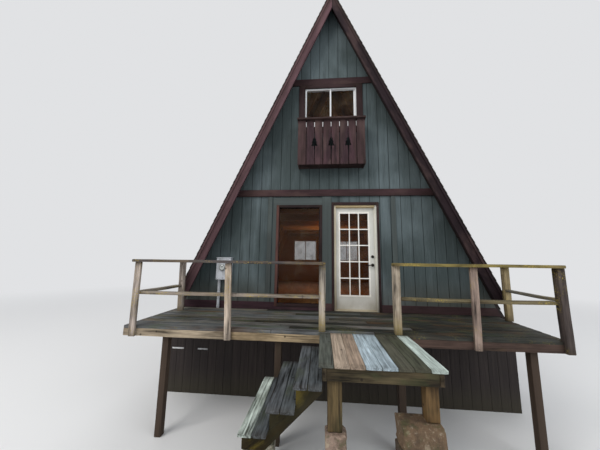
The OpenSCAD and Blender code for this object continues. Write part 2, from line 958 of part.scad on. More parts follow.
crawl_walls_ends();
crawl_walls_sides();
main_floor();
loft_floor();
floor_joists();
roof_deck();
shingles();
ridge_cap();
rafters();
rake_boards();
front_wall();
front_wall_over();
front_gable();
rear_wall();
rear_gable();
facade_bands();
wall_battens();
door_casing();
door_frame();
door_slab();
door_grille();
door_glass();
door_handle();
hinge_frame_leaves();
hinge_door_leaves();
tall_window_frame();
slider_frames();
window_casings();
window_glass();
balcony_boards();
balcony_box();
balcony_cap();
deck_boards();
deck_frame();
deck_posts();
rail_posts();
rails();
landing_boards();
landing_frame();
landing_legs();
block_piers();
stair_treads();
stair_stringers();
meter_box();
meter_dial();
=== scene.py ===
import bpy
import bmesh
import math
import numpy as np
from mathutils import Matrix, Vector


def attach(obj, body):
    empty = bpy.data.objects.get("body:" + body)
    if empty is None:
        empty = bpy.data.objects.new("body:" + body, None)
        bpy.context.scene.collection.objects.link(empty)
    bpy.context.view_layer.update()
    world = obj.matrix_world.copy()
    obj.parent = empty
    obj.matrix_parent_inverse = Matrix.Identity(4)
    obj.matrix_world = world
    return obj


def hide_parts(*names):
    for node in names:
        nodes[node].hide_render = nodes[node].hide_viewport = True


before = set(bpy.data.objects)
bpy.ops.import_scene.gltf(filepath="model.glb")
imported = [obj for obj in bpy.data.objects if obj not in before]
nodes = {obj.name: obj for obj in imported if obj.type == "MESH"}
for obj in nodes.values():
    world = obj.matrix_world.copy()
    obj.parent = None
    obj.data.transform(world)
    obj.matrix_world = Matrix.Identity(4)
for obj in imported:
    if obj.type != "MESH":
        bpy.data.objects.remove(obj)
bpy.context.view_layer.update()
scene = bpy.context.scene
rng = np.random.default_rng(17)

# the cabin's own measures in metres, from the middle of the facade at floor level
cabin = {
    "home": (0.0, -2.489, 1.45), "halfWidth": 3.037, "peak": 6.709, "depth": 7.32,
    "plank": 0.056, "shingle": 0.022, "ground": -1.45,
}
home = np.array(cabin["home"])
slope = cabin["peak"] / cabin["halfWidth"]
rise, run = slope / math.hypot(1, slope), 1 / math.hypot(1, slope)
plain = (1, 1, 1, 1)
# the ranges of random phases, about once round, and of random places in the grain
anyPhase, anyPlace = (0, 6.28), (0, 60)


def shade(*levels):
    # a colour given 0 to 255 a channel, as the linear values that materials use
    c = np.array(levels) / 255
    return tuple(np.where(c <= 0.04045, c / 12.92, ((c + 0.055) / 1.055) ** 2.4)) + (1.0,)


def shades(*rows):
    return [shade(*row) for row in rows]


def linked(name, data):
    made = bpy.data.objects.new(name, data)
    scene.collection.objects.link(made)
    return made


# camera and lamps

cameraSettings = {
    "at": (-0.2168, -5.0359, 0.9309), "yaw": 0.0867, "pitch": 0.1459, "roll": 0.0148,
    "focalPixels": 249.74, "imageWidth": 600, "sensor": 36, "clipEnd": 200,
}


def addCamera(s):
    # turned left by yaw, tipped up by pitch, then rolled about its own axis
    (cy, cp, cr), (sy, sp, sr) = ([f(s[k]) for k in ("yaw", "pitch", "roll")] for f in (math.cos, math.sin))
    level, right, up = Vector((-sy, cy, 0)), Vector((cy, sy, 0)), Vector((0, 0, 1))
    forward, up = level * cp + up * sp, up * cp - level * sp
    side, top = right * cr + up * sr, up * cr - right * sr
    data = bpy.data.cameras.new("camera")
    data.sensor_width = s["sensor"]
    data.lens = s["focalPixels"] * s["sensor"] / s["imageWidth"]
    data.clip_end = s["clipEnd"]
    camera = linked("camera", data)
    turn = Matrix((side, top, -forward)).transposed().to_4x4()
    camera.matrix_world = Matrix.Translation(Vector(home + s["at"])) @ turn
    scene.camera = camera


addCamera(cameraSettings)

lightSettings = {
    "sky": 0.62, "wall": 0.8, "skyColour": (0.94, 0.95, 0.97, 1), "aim": (0, -1, 3),
    # place, size, power and tint of the lamps outside; place and power of those in the rooms
    "lamps": [((-9, -14, 14), 9, 1500, (1.0, 0.97, 0.93)), ((12, -12, 9), 10, 700, (0.95, 0.98, 1.0)),
              ((0, 16, 14), 12, 900, (1, 1, 1))],
    "rooms": [((0.0, 1.2, 3.6), 46), ((0.0, 1.4, 5.75), 24)], "warm": (1.0, 0.66, 0.34), "bulb": 0.12,
}


def addLamp(name, kind, at, power, tint):
    data = bpy.data.lights.new(name, kind)
    data.energy, data.color = power, tint
    lamp = linked(name, data)
    lamp.location = at
    return lamp


def addLights(s):
    for i, (at, size, power, tint) in enumerate(s["lamps"]):
        lamp = addLamp("lamp%d" % i, "AREA", at, power, tint)
        lamp.data.size = size
        lamp.rotation_euler = (Vector(s["aim"]) - lamp.location).to_track_quat("-Z", "Y").to_euler()
    # a warm lamp in each room, seen through the panes
    for i, (at, power) in enumerate(s["rooms"]):
        addLamp("roomLamp%d" % i, "POINT", at, power, s["warm"]).data.shadow_soft_size = s["bulb"]
    world = bpy.data.worlds.new("world")
    scene.world = world
    world.use_nodes = True
    tree = world.node_tree
    back = tree.nodes["Background"]
    back.inputs["Color"].default_value = s["skyColour"]
    # rays from the camera and from gloss see a pale wall, every other ray sees the sky's light
    ray, either, level = (tree.nodes.new("ShaderNode" + kind) for kind in ("LightPath", "Math", "MapRange"))
    level.inputs["To Min"].default_value = s["sky"]
    level.inputs["To Max"].default_value = s["wall"]
    for start, end in ((ray.outputs["Is Camera Ray"], either.inputs[0]),
                       (ray.outputs["Is Glossy Ray"], either.inputs[1]),
                       (either.outputs["Value"], level.inputs["Value"]),
                       (level.outputs["Result"], back.inputs["Strength"])):
        tree.links.new(start, end)


addLights(lightSettings)
scene.view_settings.view_transform = "Standard"
print("camera and lamps placed")


# materials

class Sock:
    # a node's socket, so that sums of values read as Python
    def __init__(self, paint, socket):
        self.paint, self.socket = paint, socket

    def calc(self, kind, *others):
        return self.paint.maths(kind, self, *others)

    def __add__(self, other):
        return self.calc("ADD", other)

    def __sub__(self, other):
        return self.calc("SUBTRACT", other)

    def __rsub__(self, other):
        return self.paint.maths("SUBTRACT", other, self)

    def __mul__(self, other):
        return self.calc("MULTIPLY", other)

    def __truediv__(self, other):
        return self.calc("DIVIDE", other)

    def __rtruediv__(self, other):
        return self.paint.maths("DIVIDE", other, self)

    __radd__ = __add__
    __rmul__ = __mul__

    def band(self, low, high):
        # 0 below low, 1 above high, smooth between
        return self.paint.node("MapRange", {"interpolation_type": "SMOOTHSTEP"},
                               {"Value": self, "From Min": low, "From Max": high})


class Paint:
    # one material and the few kinds of node that the finishes need
    def __init__(self, name, rough=0.8, gloss=0.5):
        self.material = bpy.data.materials.new(name)
        self.material.use_nodes = True
        self.tree = self.material.node_tree
        self.shader = self.tree.nodes["Principled BSDF"]
        self.finish(Roughness=rough, SpecularIORLevel=gloss)

    def node(self, kind, settings=None, sockets=None, out=0):
        made = self.tree.nodes.new("ShaderNode" + kind)
        for key, value in (settings or {}).items():
            setattr(made, key, value)
        for key, value in (sockets or {}).items():
            self.feed(made.inputs[key], value)
        return Sock(self, made.outputs[out])

    def feed(self, socket, value):
        if isinstance(value, Sock):
            self.tree.links.new(value.socket, socket)
        else:
            socket.default_value = value

    def maths(self, kind, *values):
        return self.node("Math", {"operation": kind}, dict(enumerate(values)))

    def place(self):
        return self.node("TexCoord", out="Object")

    def attribute(self, name, out="Vector"):
        return self.node("Attribute", {"attribute_name": name}, out=out)

    def split(self, vector):
        parts = self.node("SeparateXYZ", None, {0: vector}).socket.node.outputs
        return [Sock(self, part) for part in parts]

    def join(self, *parts):
        return self.node("CombineXYZ", None, dict(enumerate(parts)))

    def noise(self, vector, scale=1.0, detail=3.0, rough=0.6, bend=0.0):
        # three values in a tuple are joined first, which draws the pattern out along one of them
        vector = self.join(*vector) if isinstance(vector, tuple) else vector
        return self.node("TexNoise", None, {"Vector": vector, "Scale": scale, "Detail": detail,
                                            "Roughness": rough, "Distortion": bend}, "Fac")

    def cells(self, vector, scale, out="Distance", flat=False):
        return self.node("TexVoronoi", {"voronoi_dimensions": "2D" if flat else "3D"},
                         {"Vector": vector, "Scale": scale}, out)

    def mix(self, amount, a, b, kind="MIX"):
        return self.node("Mix", {"data_type": "RGBA", "blend_type": kind}, {0: amount, 6: a, 7: b}, 2)

    def coats(self, colour, *coats):
        # tints laid over a colour one after another, each by its own amount
        for amount, tint in coats:
            colour = self.mix(amount, colour, tint)
        return colour

    def dim(self, colour, value):
        # a colour times a value
        return self.node("VectorMath", {"operation": "SCALE"}, {0: colour, "Scale": value})

    def bump(self, height, distance):
        return self.node("Bump", None, {"Height": height, "Distance": distance})

    def finish(self, **values):
        # keyword names are the shader's socket names without spaces
        for key, value in values.items():
            self.feed({s.name.replace(" ", ""): s for s in self.shader.inputs}[key], value)
        return self.material


# what a board finish has where its own line below gives nothing else: contrast is of figure, fibre and patch,
# a knot goes from core to rim in a share of its cell, and only in the cells whose number is high enough,
# a stain is its tint, amount, scale, and the values of the noise where it starts and is full
boardFinish = dict(
    fibre=130, figure=22, contrast=(0.9, 0.6, 0.7), mottle=0.0, knots=1.0, checks=0.7, crack=shade(34, 27, 22),
    checkScale=62, checkWidth=(0.27, 0.33), knotScale=4.2, knotSize=(0.035, 0.075), knotCells=(0.55, 0.6),
    stains=(), lichen=0.0, lichenFrom=0.48, lichenTint=shade(168, 150, 62), footLichen=0.0,
    endFrom=0.0, endTo=0.12, soil=0.6, soilTint=shade(52, 42, 32), rough=0.78, relief=0.0022,
)


def weatheredWood(name, **given):
    # fibres run along each board; grain, lot and tone are attributes that every board carries
    s = dict(boardFinish, **given)
    paint = Paint(name, gloss=0.2)
    along, across, deep = paint.split(paint.attribute("grain"))
    board, end, height = paint.split(paint.attribute("lot"))
    side = across + paint.noise((along * 0.9, across * 5, deep * 5), 1.0, 2.0, 0.5) * 0.05
    fibre = paint.noise((along * 2.6, side * s["fibre"], deep * s["fibre"]))
    figure = paint.noise((along * 0.55, side * s["figure"], deep * 22), 1.0, 3.0, 0.55, 0.5)
    patch = paint.noise((along * 1.6, across * 3.0, deep * 3 + board * 9))
    level = 1
    for pattern, contrast in zip((figure, fibre, patch), s["contrast"]):
        level = level + (pattern - 0.5) * contrast
    if s["mottle"]:
        mottle = paint.noise((along * 2.6 + board * 7, across * 13, deep * 13), 1.0, 3.0, 0.62)
        level = level + (mottle - 0.5) * s["mottle"]
    colour = paint.dim(paint.attribute("tone", "Color"), level.calc("MAXIMUM", 0.12))
    # long dark checks, and knots in some boards
    thin = (along * 0.75, side * s["checkScale"], deep * s["checkScale"])
    check = 1 - paint.noise(thin, 1.0, 2.0, 0.5).band(*s["checkWidth"])
    flat = paint.join(along, across, 0.0)
    knot = 1 - paint.cells(flat, s["knotScale"], flat=True).band(*s["knotSize"])
    keep = paint.split(paint.cells(flat, s["knotScale"], "Color", flat=True))[0].band(*s["knotCells"])
    knot = knot * keep * s["knots"]
    colour = paint.mix((check * s["checks"] + knot * 0.75).calc("MINIMUM", 0.92), colour, s["crack"])
    # stains that gather in patches, one after another
    for i, (tint, amount, scale, low, high) in enumerate(s["stains"]):
        spot = paint.noise((along * scale + i * 5.3, across * scale * 2.4, deep * scale), 1.0, 4.0, 0.62)
        colour = paint.mix(spot.band(low, high) * amount, colour, tint)
    if s["lichen"]:
        place = paint.place()
        fine = paint.noise(place, 60, 3.0, 0.7).band(0.52, 0.62)
        amount = fine * paint.noise(place, 3.1, 2.0).band(s["lichenFrom"], s["lichenFrom"] + 0.16) * s["lichen"]
        if s["footLichen"]:
            # more of it on feet near the landing, up to the height given
            damp = 1 - (paint.split(place)[0] - 0.3).calc("ABSOLUTE").band(0.7, 0.9)
            foot = (1 - height.calc("ABSOLUTE").band(0.04, s["footLichen"])) * patch.band(0.35, 0.55) * damp
            amount = amount.calc("MAXIMUM", foot * (0.3 + fine * 0.5))
        colour = paint.mix(amount, colour, s["lichenTint"])
    soil = (1 - end.band(s["endFrom"], s["endTo"])) * (0.25 + patch * 0.5) * s["soil"]
    relief = fibre * 0.5 + figure * 0.7 - check * 1.2 - knot * 0.6
    return paint.finish(BaseColor=paint.mix(soil, colour, s["soilTint"]),
                        Roughness=s["rough"] + (fibre - 0.5) * 0.2, Normal=paint.bump(relief, s["relief"]))


indoors = dict(contrast=(0.7, 0.35, 0.35), checks=0.15, crack=shade(96, 56, 26), rough=0.55)
warmPine = weatheredWood("warmPine", soil=0.15, **indoors)
floorPine = weatheredWood("floorPine", endFrom=0.03, endTo=0.06, soil=3.2, soilTint=shade(50, 36, 36), **indoors)
roofPlank = weatheredWood("roofPlank", contrast=(0.8, 0.4, 0.5), checks=0.3, crack=shade(80, 52, 32), rough=0.7,
                          endFrom=0.3, endTo=0.4, soil=2.4, soilTint=shade(40, 33, 32))
deckWood = weatheredWood("deckWood", contrast=(1.8, 2.2, 1.2), mottle=2.2, checks=0.9, fibre=70, lichen=0.25,
                         stains=[(shade(66, 76, 50), 0.55, 1.3, 0.5, 0.68),
                                 (shade(88, 66, 48), 0.6, 0.9, 0.52, 0.7)], relief=0.004)
deckEdgeWood = weatheredWood("deckEdgeWood", contrast=(1.8, 1.8, 1.2), mottle=1.8, checks=1.0, figure=28,
                             fibre=80, stains=[(shade(84, 70, 50), 0.6, 1.1, 0.48, 0.66)], relief=0.003)
railWood = weatheredWood("railWood", contrast=(1.6, 1.8, 1.1), mottle=2.4, checks=0.9, figure=30, fibre=76,
                         stains=[(shade(112, 96, 74), 0.5, 1.4, 0.5, 0.68)], lichen=0.8, lichenFrom=0.46,
                         lichenTint=shade(172, 152, 70), footLichen=0.34, relief=0.003)
landingWood = weatheredWood("landingWood", contrast=(1.3, 2.0, 0.5), mottle=1.5, checks=0.9, figure=34, fibre=64,
                            stains=[(shade(74, 78, 56), 0.25, 1.5, 0.52, 0.7)], relief=0.0025, endTo=0.09, soil=0.5)
landingFrameWood = weatheredWood("landingFrameWood", contrast=(1.8, 2.0, 1.4), mottle=4.0, checks=0.9, fibre=70,
                                 stains=[(shade(66, 72, 46), 0.5, 1.6, 0.5, 0.66),
                                         (shade(58, 42, 30), 0.6, 1.2, 0.52, 0.68)], relief=0.003)
treadWood = weatheredWood("treadWood", contrast=(1.8, 3.0, 0.8), mottle=3.0, checks=1.0, figure=34, fibre=60,
                          stains=[(shade(70, 78, 54), 0.45, 1.6, 0.5, 0.68)], relief=0.005)
stringerWood = weatheredWood("stringerWood", contrast=(1.0, 0.7, 0.7), mottle=1.2, checks=0.6,
                             stains=[(shade(116, 102, 42), 0.5, 2.4, 0.54, 0.68),
                                     (shade(48, 46, 30), 0.6, 1.9, 0.46, 0.64)], relief=0.003)
crawlWallWood = weatheredWood("crawlWallWood", contrast=(0.9, 0.7, 0.9),
                              stains=[(shade(70, 66, 50), 0.4, 0.9, 0.52, 0.7)], relief=0.003)
brownStain = weatheredWood("brownStain", contrast=(0.8, 0.6, 0.7), mottle=1.4, checks=0.6, knots=0.3,
                           stains=[(shade(104, 82, 78), 0.35, 0.8, 0.52, 0.7)], crack=shade(26, 16, 15), relief=0.002)
balconyStain = weatheredWood("balconyStain", contrast=(1.5, 1.0, 0.8), mottle=2.4, checks=0.5, knots=0.8,
                             figure=34, stains=[(shade(104, 84, 82), 0.5, 1.2, 0.5, 0.68)],
                             crack=shade(28, 18, 18), relief=0.003)
greenStain = weatheredWood("greenStain", contrast=(0.5, 0.5, 0.5), checks=0.3, knots=0.2,
                           stains=[(shade(104, 118, 118), 0.4, 0.7, 0.48, 0.68)], crack=shade(34, 38, 36),
                           relief=0.0018)


# shapes

def xyz(x, y, z):
    # a point for each entry of three arrays, where one number serves a whole array
    return np.stack(np.broadcast_arrays(x, y, z), -1)


def bands(index):
    # quads between one ring of points and the next, closed round
    a, b = index[..., :-1, :], index[..., 1:, :]
    return np.stack([a, np.roll(a, -1, -1), np.roll(b, -1, -1), b], -1).reshape(-1, 4)


def newMesh(name, points, faces, **layers):
    # points from the cabin's home and arrays of faces; a layer is a value for each point that a finish reads
    mesh = bpy.data.meshes.new(name)
    mesh.from_pydata((points.reshape(-1, 3) + home).tolist(), [], [f for group in faces for f in group.tolist()])
    addLayers(mesh, **layers)
    mesh.update()
    return mesh


def addLayers(mesh, **layers):
    for name, values in layers.items():
        kind, field = ("FLOAT_COLOR", "color") if values.shape[-1] == 4 else ("FLOAT_VECTOR", "vector")
        layer = mesh.attributes.new(name, kind, "POINT")
        layer.data.foreach_set(field, np.ascontiguousarray(values, dtype=np.float32).ravel())


def newPiece(name, mesh, material, replaced=(), smooth=None, body="cabin"):
    piece = linked(name, mesh)
    mesh.materials.clear()
    mesh.materials.append(material)
    if smooth is not None:
        mesh.polygons.foreach_set("use_smooth", np.ones(len(mesh.polygons), bool))
        mesh.set_sharp_from_angle(angle=math.radians(smooth))
    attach(piece, body)
    if replaced:
        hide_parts(*replaced)
    return piece


# the section's easing and its points in a corner and along the top; the rings from end to end, and the share of
# the easing by which the end ones shrink; the cup and its least share; the sag; the wobble, the share of its
# second wave, and how fast both waves run each way
boardShape = dict(ease=0.004, corner=3, flat=2, stations=8, endShrink=0.8, cup=0.0, leastCup=0.4, sag=0.0,
                  wobble=0.001, second=0.5, sideWaves=(5.1, 13.7), upWaves=(4.3, 11.9))
plainBoard = dict(boardShape, wobble=0.0, stations=3, corner=2, flat=1)


def easedSection(corner, flat):
    # a square two by two with round corners, once round by angle: each corner in a few steps, top and bottom
    # with a few points more; the share of the easing comes apart
    unit, easing = [], []
    for cx, cz, start in ((1, 1, 0), (-1, 1, 90), (-1, -1, 180), (1, -1, 270)):
        for a in np.radians(start + np.linspace(0, 90, corner)):
            unit.append((cx, cz))
            easing.append((math.cos(a) - cx, math.sin(a) - cz))
        if start in (0, 180):
            unit += [(cx * (1 - 2 * i / (flat + 1)), cz) for i in range(1, flat + 1)]
            easing += [(0, 0)] * flat
    return np.array(unit, float), np.array(easing, float)


def boardRings(start, end, across, wide, thick, s):
    # each board is a section carried from start to end: middle(t) + across * u + up * v, where u and v
    # follow the eased section, v bends by the cup, and the middle wanders a little with sines of t
    start, end, across = np.broadcast_arrays(*(np.atleast_2d(np.asarray(v, float)) for v in (start, end, across)))
    count, ease = len(start), s["ease"]
    length = np.linalg.norm(end - start, axis=1, keepdims=True)
    along = (end - start) / length
    across = across - (across * along).sum(1, keepdims=True) * along
    across = across / np.linalg.norm(across, axis=1, keepdims=True)
    up = np.cross(along, across)
    inner = np.linspace(0, 1, s["stations"])
    places = np.hstack([0 * length, ease + (length - 2 * ease) * inner, length])
    shrink = np.zeros(places.shape + (1, 1))
    shrink[:, (0, -1)] = ease * s["endShrink"]
    unit, easing = easedSection(s["corner"], s["flat"])
    half = np.stack([np.broadcast_to(v, count) for v in (wide, thick)], -1)[:, None, None] / 2
    uv = unit * half + easing * ease - np.sign(unit) * shrink                # board, station, point, 2
    cup = s["cup"] * rng.uniform(s["leastCup"], 1.0, (count, 1, 1))
    uv[..., 1] -= cup * (uv[..., 0] / half[..., 0]) ** 2
    t, phases = places / length, rng.uniform(*anyPhase, (count, 4)).T[..., None]
    a, b, c, d = (np.sin(wave * t + phase) for wave, phase in zip(s["sideWaves"] + s["upWaves"], phases))
    drift = (a + b * s["second"]) * s["wobble"]
    lift = (c + d * s["second"]) * s["wobble"] - s["sag"] * np.sin(math.pi * t)
    middle = start[:, None] + along[:, None] * places[..., None]
    middle = middle + across[:, None] * drift[..., None] + up[:, None] * lift[..., None]
    rings = middle[:, :, None] + across[:, None, None] * uv[..., :1] + up[:, None, None] * uv[..., 1:]
    seed = rng.uniform(*anyPlace, (count, 2))[..., None, None]
    grain = xyz(places[..., None] + seed[:, 0], uv[..., 0] + seed[:, 1], uv[..., 1])
    lot = xyz(rng.uniform(0, 1, (count, 1, 1)), np.minimum(places, length - places)[..., None], rings[..., 2])
    return rings, grain, lot


def tonesOf(tones, count, spread=0.06):
    # a colour for each board: a list in order, or picked from it at random, each a little lighter or darker
    tones = np.array(tones, float)
    out = tones[np.arange(count) if len(tones) == count else rng.integers(0, len(tones), count)]
    out[:, :3] *= 1 + rng.uniform(-spread, spread, count)[:, None]
    return out


def ringsPiece(name, parts, material, replaced=(), smooth=None):
    # bands of quads and a cap at each end; rings that turn the wrong way are reversed
    quads, caps, layers, offset = [], [], [], 0
    for rings, grain, lot, tone in parts:
        shape = rings.shape[:3]
        ring = rings[:, 0] - rings[:, 0].mean(1, keepdims=True)
        turning = np.cross(ring, np.roll(ring, -1, 1)).sum(1)
        turn = (turning * (rings[:, -1].mean(1) - rings[:, 0].mean(1))).sum(1) < 0
        for array in (rings, grain, lot):
            array[turn] = array[turn][:, :, ::-1]
        index = np.arange(np.prod(shape)).reshape(shape) + offset
        quads.append(bands(index))
        caps += [index[:, 0, ::-1], index[:, -1]]
        layers.append([rings.reshape(-1, 3), grain.reshape(-1, 3), lot.reshape(-1, 3),
                       np.repeat(tone, shape[1] * shape[2], axis=0)])
        offset += index.size
    points, grain, lot, tone = (np.concatenate(layer) for layer in zip(*layers))
    mesh = newMesh(name, points, quads + caps, grain=grain, lot=lot, tone=tone)
    return newPiece(name, mesh, material, replaced, smooth)


def barPiece(name, parts, tones, material, replaced=(), smooth=40, spread=0.06):
    toned = [(*part, tonesOf(tone, len(part[0]), spread)) for part, tone in zip(parts, tones)]
    return ringsPiece(name, toned, material, replaced, smooth)


def plankRow(x, front, rear, top, wide, thick, s):
    # flat planks that run from front to rear under one level
    z = top - thick / 2
    return boardRings(xyz(x, front, z), xyz(x, rear, z), (1, 0, 0), wide, thick, s)


def flatBars(bars, y, thick, ease):
    # bars in a plane that faces the front: ends in x and z, and a width each
    x0, z0, x1, z1, wide = np.array(bars, float).T
    return boardRings(xyz(x0, y, z0), xyz(x1, y, z1), xyz(z1 - z0, 0, x0 - x1), wide, thick,
                      dict(boardShape, ease=ease, wobble=0.0, stations=4, flat=1))


def barRing(row):
    # two stiles, with the head and the sill cut between them; a sill of 0 is left out. A row gives left, right,
    # bottom and top, the widths of stiles, head and sill, the middle and thickness in y, and the easing
    x0, x1, z0, z1, side, head, sill, y, thick, ease = row
    bars = [(x0 + side / 2, z0, x0 + side / 2, z1, side), (x1 - side / 2, z0, x1 - side / 2, z1, side),
            (x0 + side, z1 - head / 2, x1 - side, z1 - head / 2, head),
            (x0 + side, z0 + sill / 2, x1 - side, z0 + sill / 2, sill)]
    return flatBars(bars if sill else bars[:3], y, thick, ease)


def islandsOf(count, edges):
    # the lowest vertex number that each vertex is joined to
    label = np.arange(count)
    while True:
        low = np.minimum(label[edges[:, 0]], label[edges[:, 1]])
        before = label.copy()
        np.minimum.at(label, edges[:, 0], low)
        np.minimum.at(label, edges[:, 1], low)
        label = label[label]
        if (label == before).all():
            return label


# points nearer than this are one, and faces that turn less, in radians, are one; an edge turns more, in degrees
meshLimits = {"weld": 2e-5, "flat": 0.002, "edge": 35}


def easedCopy(node, material, tones=(plain,), width=0.003, segments=2, body="cabin", smooth=40, carve=None):
    # the CAD node with its edges eased; the grain runs along the longest direction of each loose board
    mesh = nodes[node].data.copy()
    form = bmesh.new()
    form.from_mesh(mesh)
    bmesh.ops.remove_doubles(form, verts=form.verts, dist=meshLimits["weld"])
    bmesh.ops.dissolve_limit(form, angle_limit=meshLimits["flat"], verts=form.verts, edges=form.edges)
    form.to_mesh(mesh)
    form.free()
    piece = newPiece(node + "_eased", mesh, material, (node,), smooth, body)
    if carve is not None:
        mesh = carved(piece, carve)
    points, edges = np.zeros(len(mesh.vertices) * 3), np.zeros(len(mesh.edges) * 2, int)
    mesh.vertices.foreach_get("co", points)
    mesh.edges.foreach_get("vertices", edges)
    points = points.reshape(-1, 3)
    label = islandsOf(len(points), edges.reshape(-1, 2))
    boards = np.unique(label)
    grain, lot, tone = np.zeros_like(points), np.zeros_like(points), np.ones((len(points), 4))
    for board, colour in zip(boards, tonesOf(tones, len(boards))):
        mine = label == board
        own = points[mine] - points[mine].mean(0)
        own = own @ np.linalg.eigh(own.T @ own)[1][:, ::-1]
        lot[mine] = xyz(rng.uniform(), own[:, 0].max() - np.abs(own[:, 0]), points[mine, 2])
        grain[mine] = own + rng.uniform(*anyPlace, 3)
        tone[mine] = colour
    addLayers(mesh, grain=grain, lot=lot, tone=tone)
    if width > 0:
        bevel = piece.modifiers.new("ease", "BEVEL")
        bevel.width, bevel.segments = width, segments
        bevel.limit_method, bevel.angle_limit = "ANGLE", math.radians(meshLimits["edge"])
    return piece


def carved(piece, cutter):
    # cuts the cutter's volume out of a piece, then removes the cutter
    cut = piece.modifiers.new("carve", "BOOLEAN")
    cut.operation, cut.solver, cut.object = "DIFFERENCE", "EXACT", cutter
    bpy.context.view_layer.update()
    mesh = bpy.data.meshes.new_from_object(piece.evaluated_get(bpy.context.evaluated_depsgraph_get()))
    piece.modifiers.clear()
    piece.data = mesh
    bpy.data.objects.remove(cutter)
    return mesh


def cutters(low, high):
    # a box for each row of low and high corners, all in one mesh
    share = np.array([(i, j, k) for i in (0, 1) for j in (0, 1) for k in (0, 1)], float)
    quads = np.array([(0, 1, 3, 2), (4, 6, 7, 5), (0, 4, 5, 1), (2, 3, 7, 6), (0, 2, 6, 4), (1, 5, 7, 3)])
    faces = quads + 8 * np.arange(len(low))[:, None, None]
    return linked("cutters", newMesh("cutters", low[:, None] + share * (high - low)[:, None], faces))


# siding

sidingSettings = {
    "pitch": 0.203, "phase": -1.28, "groove": 0.01, "depth": 0.007, "reach": 3.1, "foot": -1.1, "top": 7.7,
    "green": shade(66, 76, 77), "pale": shade(100, 112, 116), "dark": shade(46, 52, 54),
    "shadow": shade(28, 32, 31), "splash": shade(74, 66, 52), "skin": 0.06, "pine": shade(164, 110, 60),
}


def sidingPaint(s):
    # rough sawn plywood under slate green stain: streaks run up and down, and the stain fades in broad patches
    paint = Paint("sidingStain", gloss=0.2)
    x, y, z = paint.split(paint.place())
    fibre = paint.noise((x * 210, y * 40, z * 5), 1.0, 3.0, 0.65)
    streak = paint.noise((x * 14, y * 3, z * 0.9), 1.0, 4.0)
    broad = paint.noise((x * 0.8, y, z * 0.55), 1.0, 3.0, 0.55)
    rings = (paint.noise((x * 5, y * 5, z * 0.8), 1.0, 2.0, 0.6, 1.6) * 46).calc("SINE") * 0.5 + 0.5
    fade = broad.band(0.42, 0.66) * 0.65 + streak.band(0.5, 0.75) * 0.35
    colour = paint.coats(s["green"], (fade, s["pale"]), ((1 - streak.band(0.26, 0.46)) * 0.5, s["dark"]))
    colour = paint.dim(colour, 0.86 + fibre * 0.24 + rings * 0.08)
    # painted shade darkens the groove's floor, found by its place in the pitch, and the splash zone by the deck is
    # darker with dirt
    turn = ((x - s["phase"] + s["groove"] * 0.5) / s["pitch"]).calc("FRACT") * s["pitch"]
    groove = (1 - turn.band(s["groove"] * 0.9, s["groove"] * 1.25)) * 0.75
    low = (1 - (z - home[2]).band(0.1, 0.75)) * (0.15 + streak * 0.5)
    # the inner faces of the walls are pine panelling
    near, far = home[1] + s["skin"], home[1] + cabin["depth"] - s["skin"]
    inside = y.band(near, near + 0.001) * (1 - y.band(far - 0.001, far))
    pine = paint.dim(s["pine"][:3], 0.7 + rings * 0.15 + streak * 0.4)
    colour = paint.coats(colour, (groove, s["shadow"]), (low, s["splash"]), (inside, pine))
    return paint.finish(BaseColor=colour, Roughness=0.74 + fibre * 0.16,
                        Normal=paint.bump(fibre * 0.7 + rings * 0.3 + streak * 0.5, 0.0016))


def sidingGrooves(s, face):
    # a slot for each groove, from below the wall to above it
    first, last = (math.ceil((end - s["phase"]) / s["pitch"]) for end in (-s["reach"], s["reach"]))
    x, half = s["phase"] + s["pitch"] * np.arange(first, last), s["groove"] / 2
    return cutters(xyz(x - half, face - s["depth"], s["foot"]), xyz(x + half, face + s["depth"], s["top"]))


sidingStain = sidingPaint(sidingSettings)
for wall, face in (("front_wall", 0.0), ("front_wall_over", 0.0), ("front_gable", 0.0),
                   ("rear_wall", cabin["depth"]), ("rear_gable", cabin["depth"])):
    easedCopy(wall, sidingStain, width=0, smooth=None, carve=sidingGrooves(sidingSettings, face))
print("siding done")

# trim on the walls

# the purple cast of these browns is painted blue shade light; the stain itself is a dark brown
stains = {
    "brown": shades((57, 37, 43), (53, 35, 41)),
    # the front right, front left, rear right and rear left rake board; the front right one is darker as painted
    # shade, the front left one lighter as painted skylight
    "rake": shades((35, 24, 28), (90, 66, 71), (57, 37, 43), (57, 37, 43)),
    "dark": shades((47, 33, 34)),
    "tall": shades((84, 57, 52), (44, 31, 31), (36, 26, 26), (46, 33, 34)),
    "green": shades((75, 86, 87), (70, 80, 81)),
}
easedCopy("facade_bands", brownStain, stains["brown"])
easedCopy("rake_boards", brownStain, stains["rake"])
easedCopy("wall_battens", greenStain, stains["green"])

# the lists of numbers here are rows for barRing
sliderSettings = {
    # left, bottom and middle in y of the four openings, and how far the casing's sides lie from them
    "at": [(-0.58, 3.765, -0.012), (-0.555, 3.3, 7.332), (-1.555, 1.0, 7.332), (0.445, 1.0, 7.332)],
    "reach": (-0.13, 1.24, -0.092, 1.029), "bars": (0.134, 0.078, 0.096), "thick": 0.024, "ease": 0.003,
}
tallSettings = {
    "frame": (-1.143, -0.203, 0.06, 2.087, 0.052, 0.052, 0.052, 0.032, 0.116, 0.003),
    "stops": (-1.092, -0.254, 0.111, 2.036, 0.014, 0.014, 0.014, 0.049, 0.018, 0.002),
}
doorCasing = (-0.012, 0.927, 0.003, 2.14, 0.045, 0.059, 0, -0.014, 0.028, 0.003)


def ringPiece(name, rows, tones, material, replaced, spread=0.06):
    barPiece(name, [barRing(row) for row in rows], [tones] * len(rows), material, replaced, spread=spread)


def windowCasings(s):
    left, right, low, high = s["reach"]
    rows = [(x + left, x + right, z + low, z + high, *s["bars"], y, s["thick"], s["ease"]) for x, z, y in s["at"]]
    ringPiece("window_casing_boards", rows, stains["dark"], brownStain, ["window_casings"])


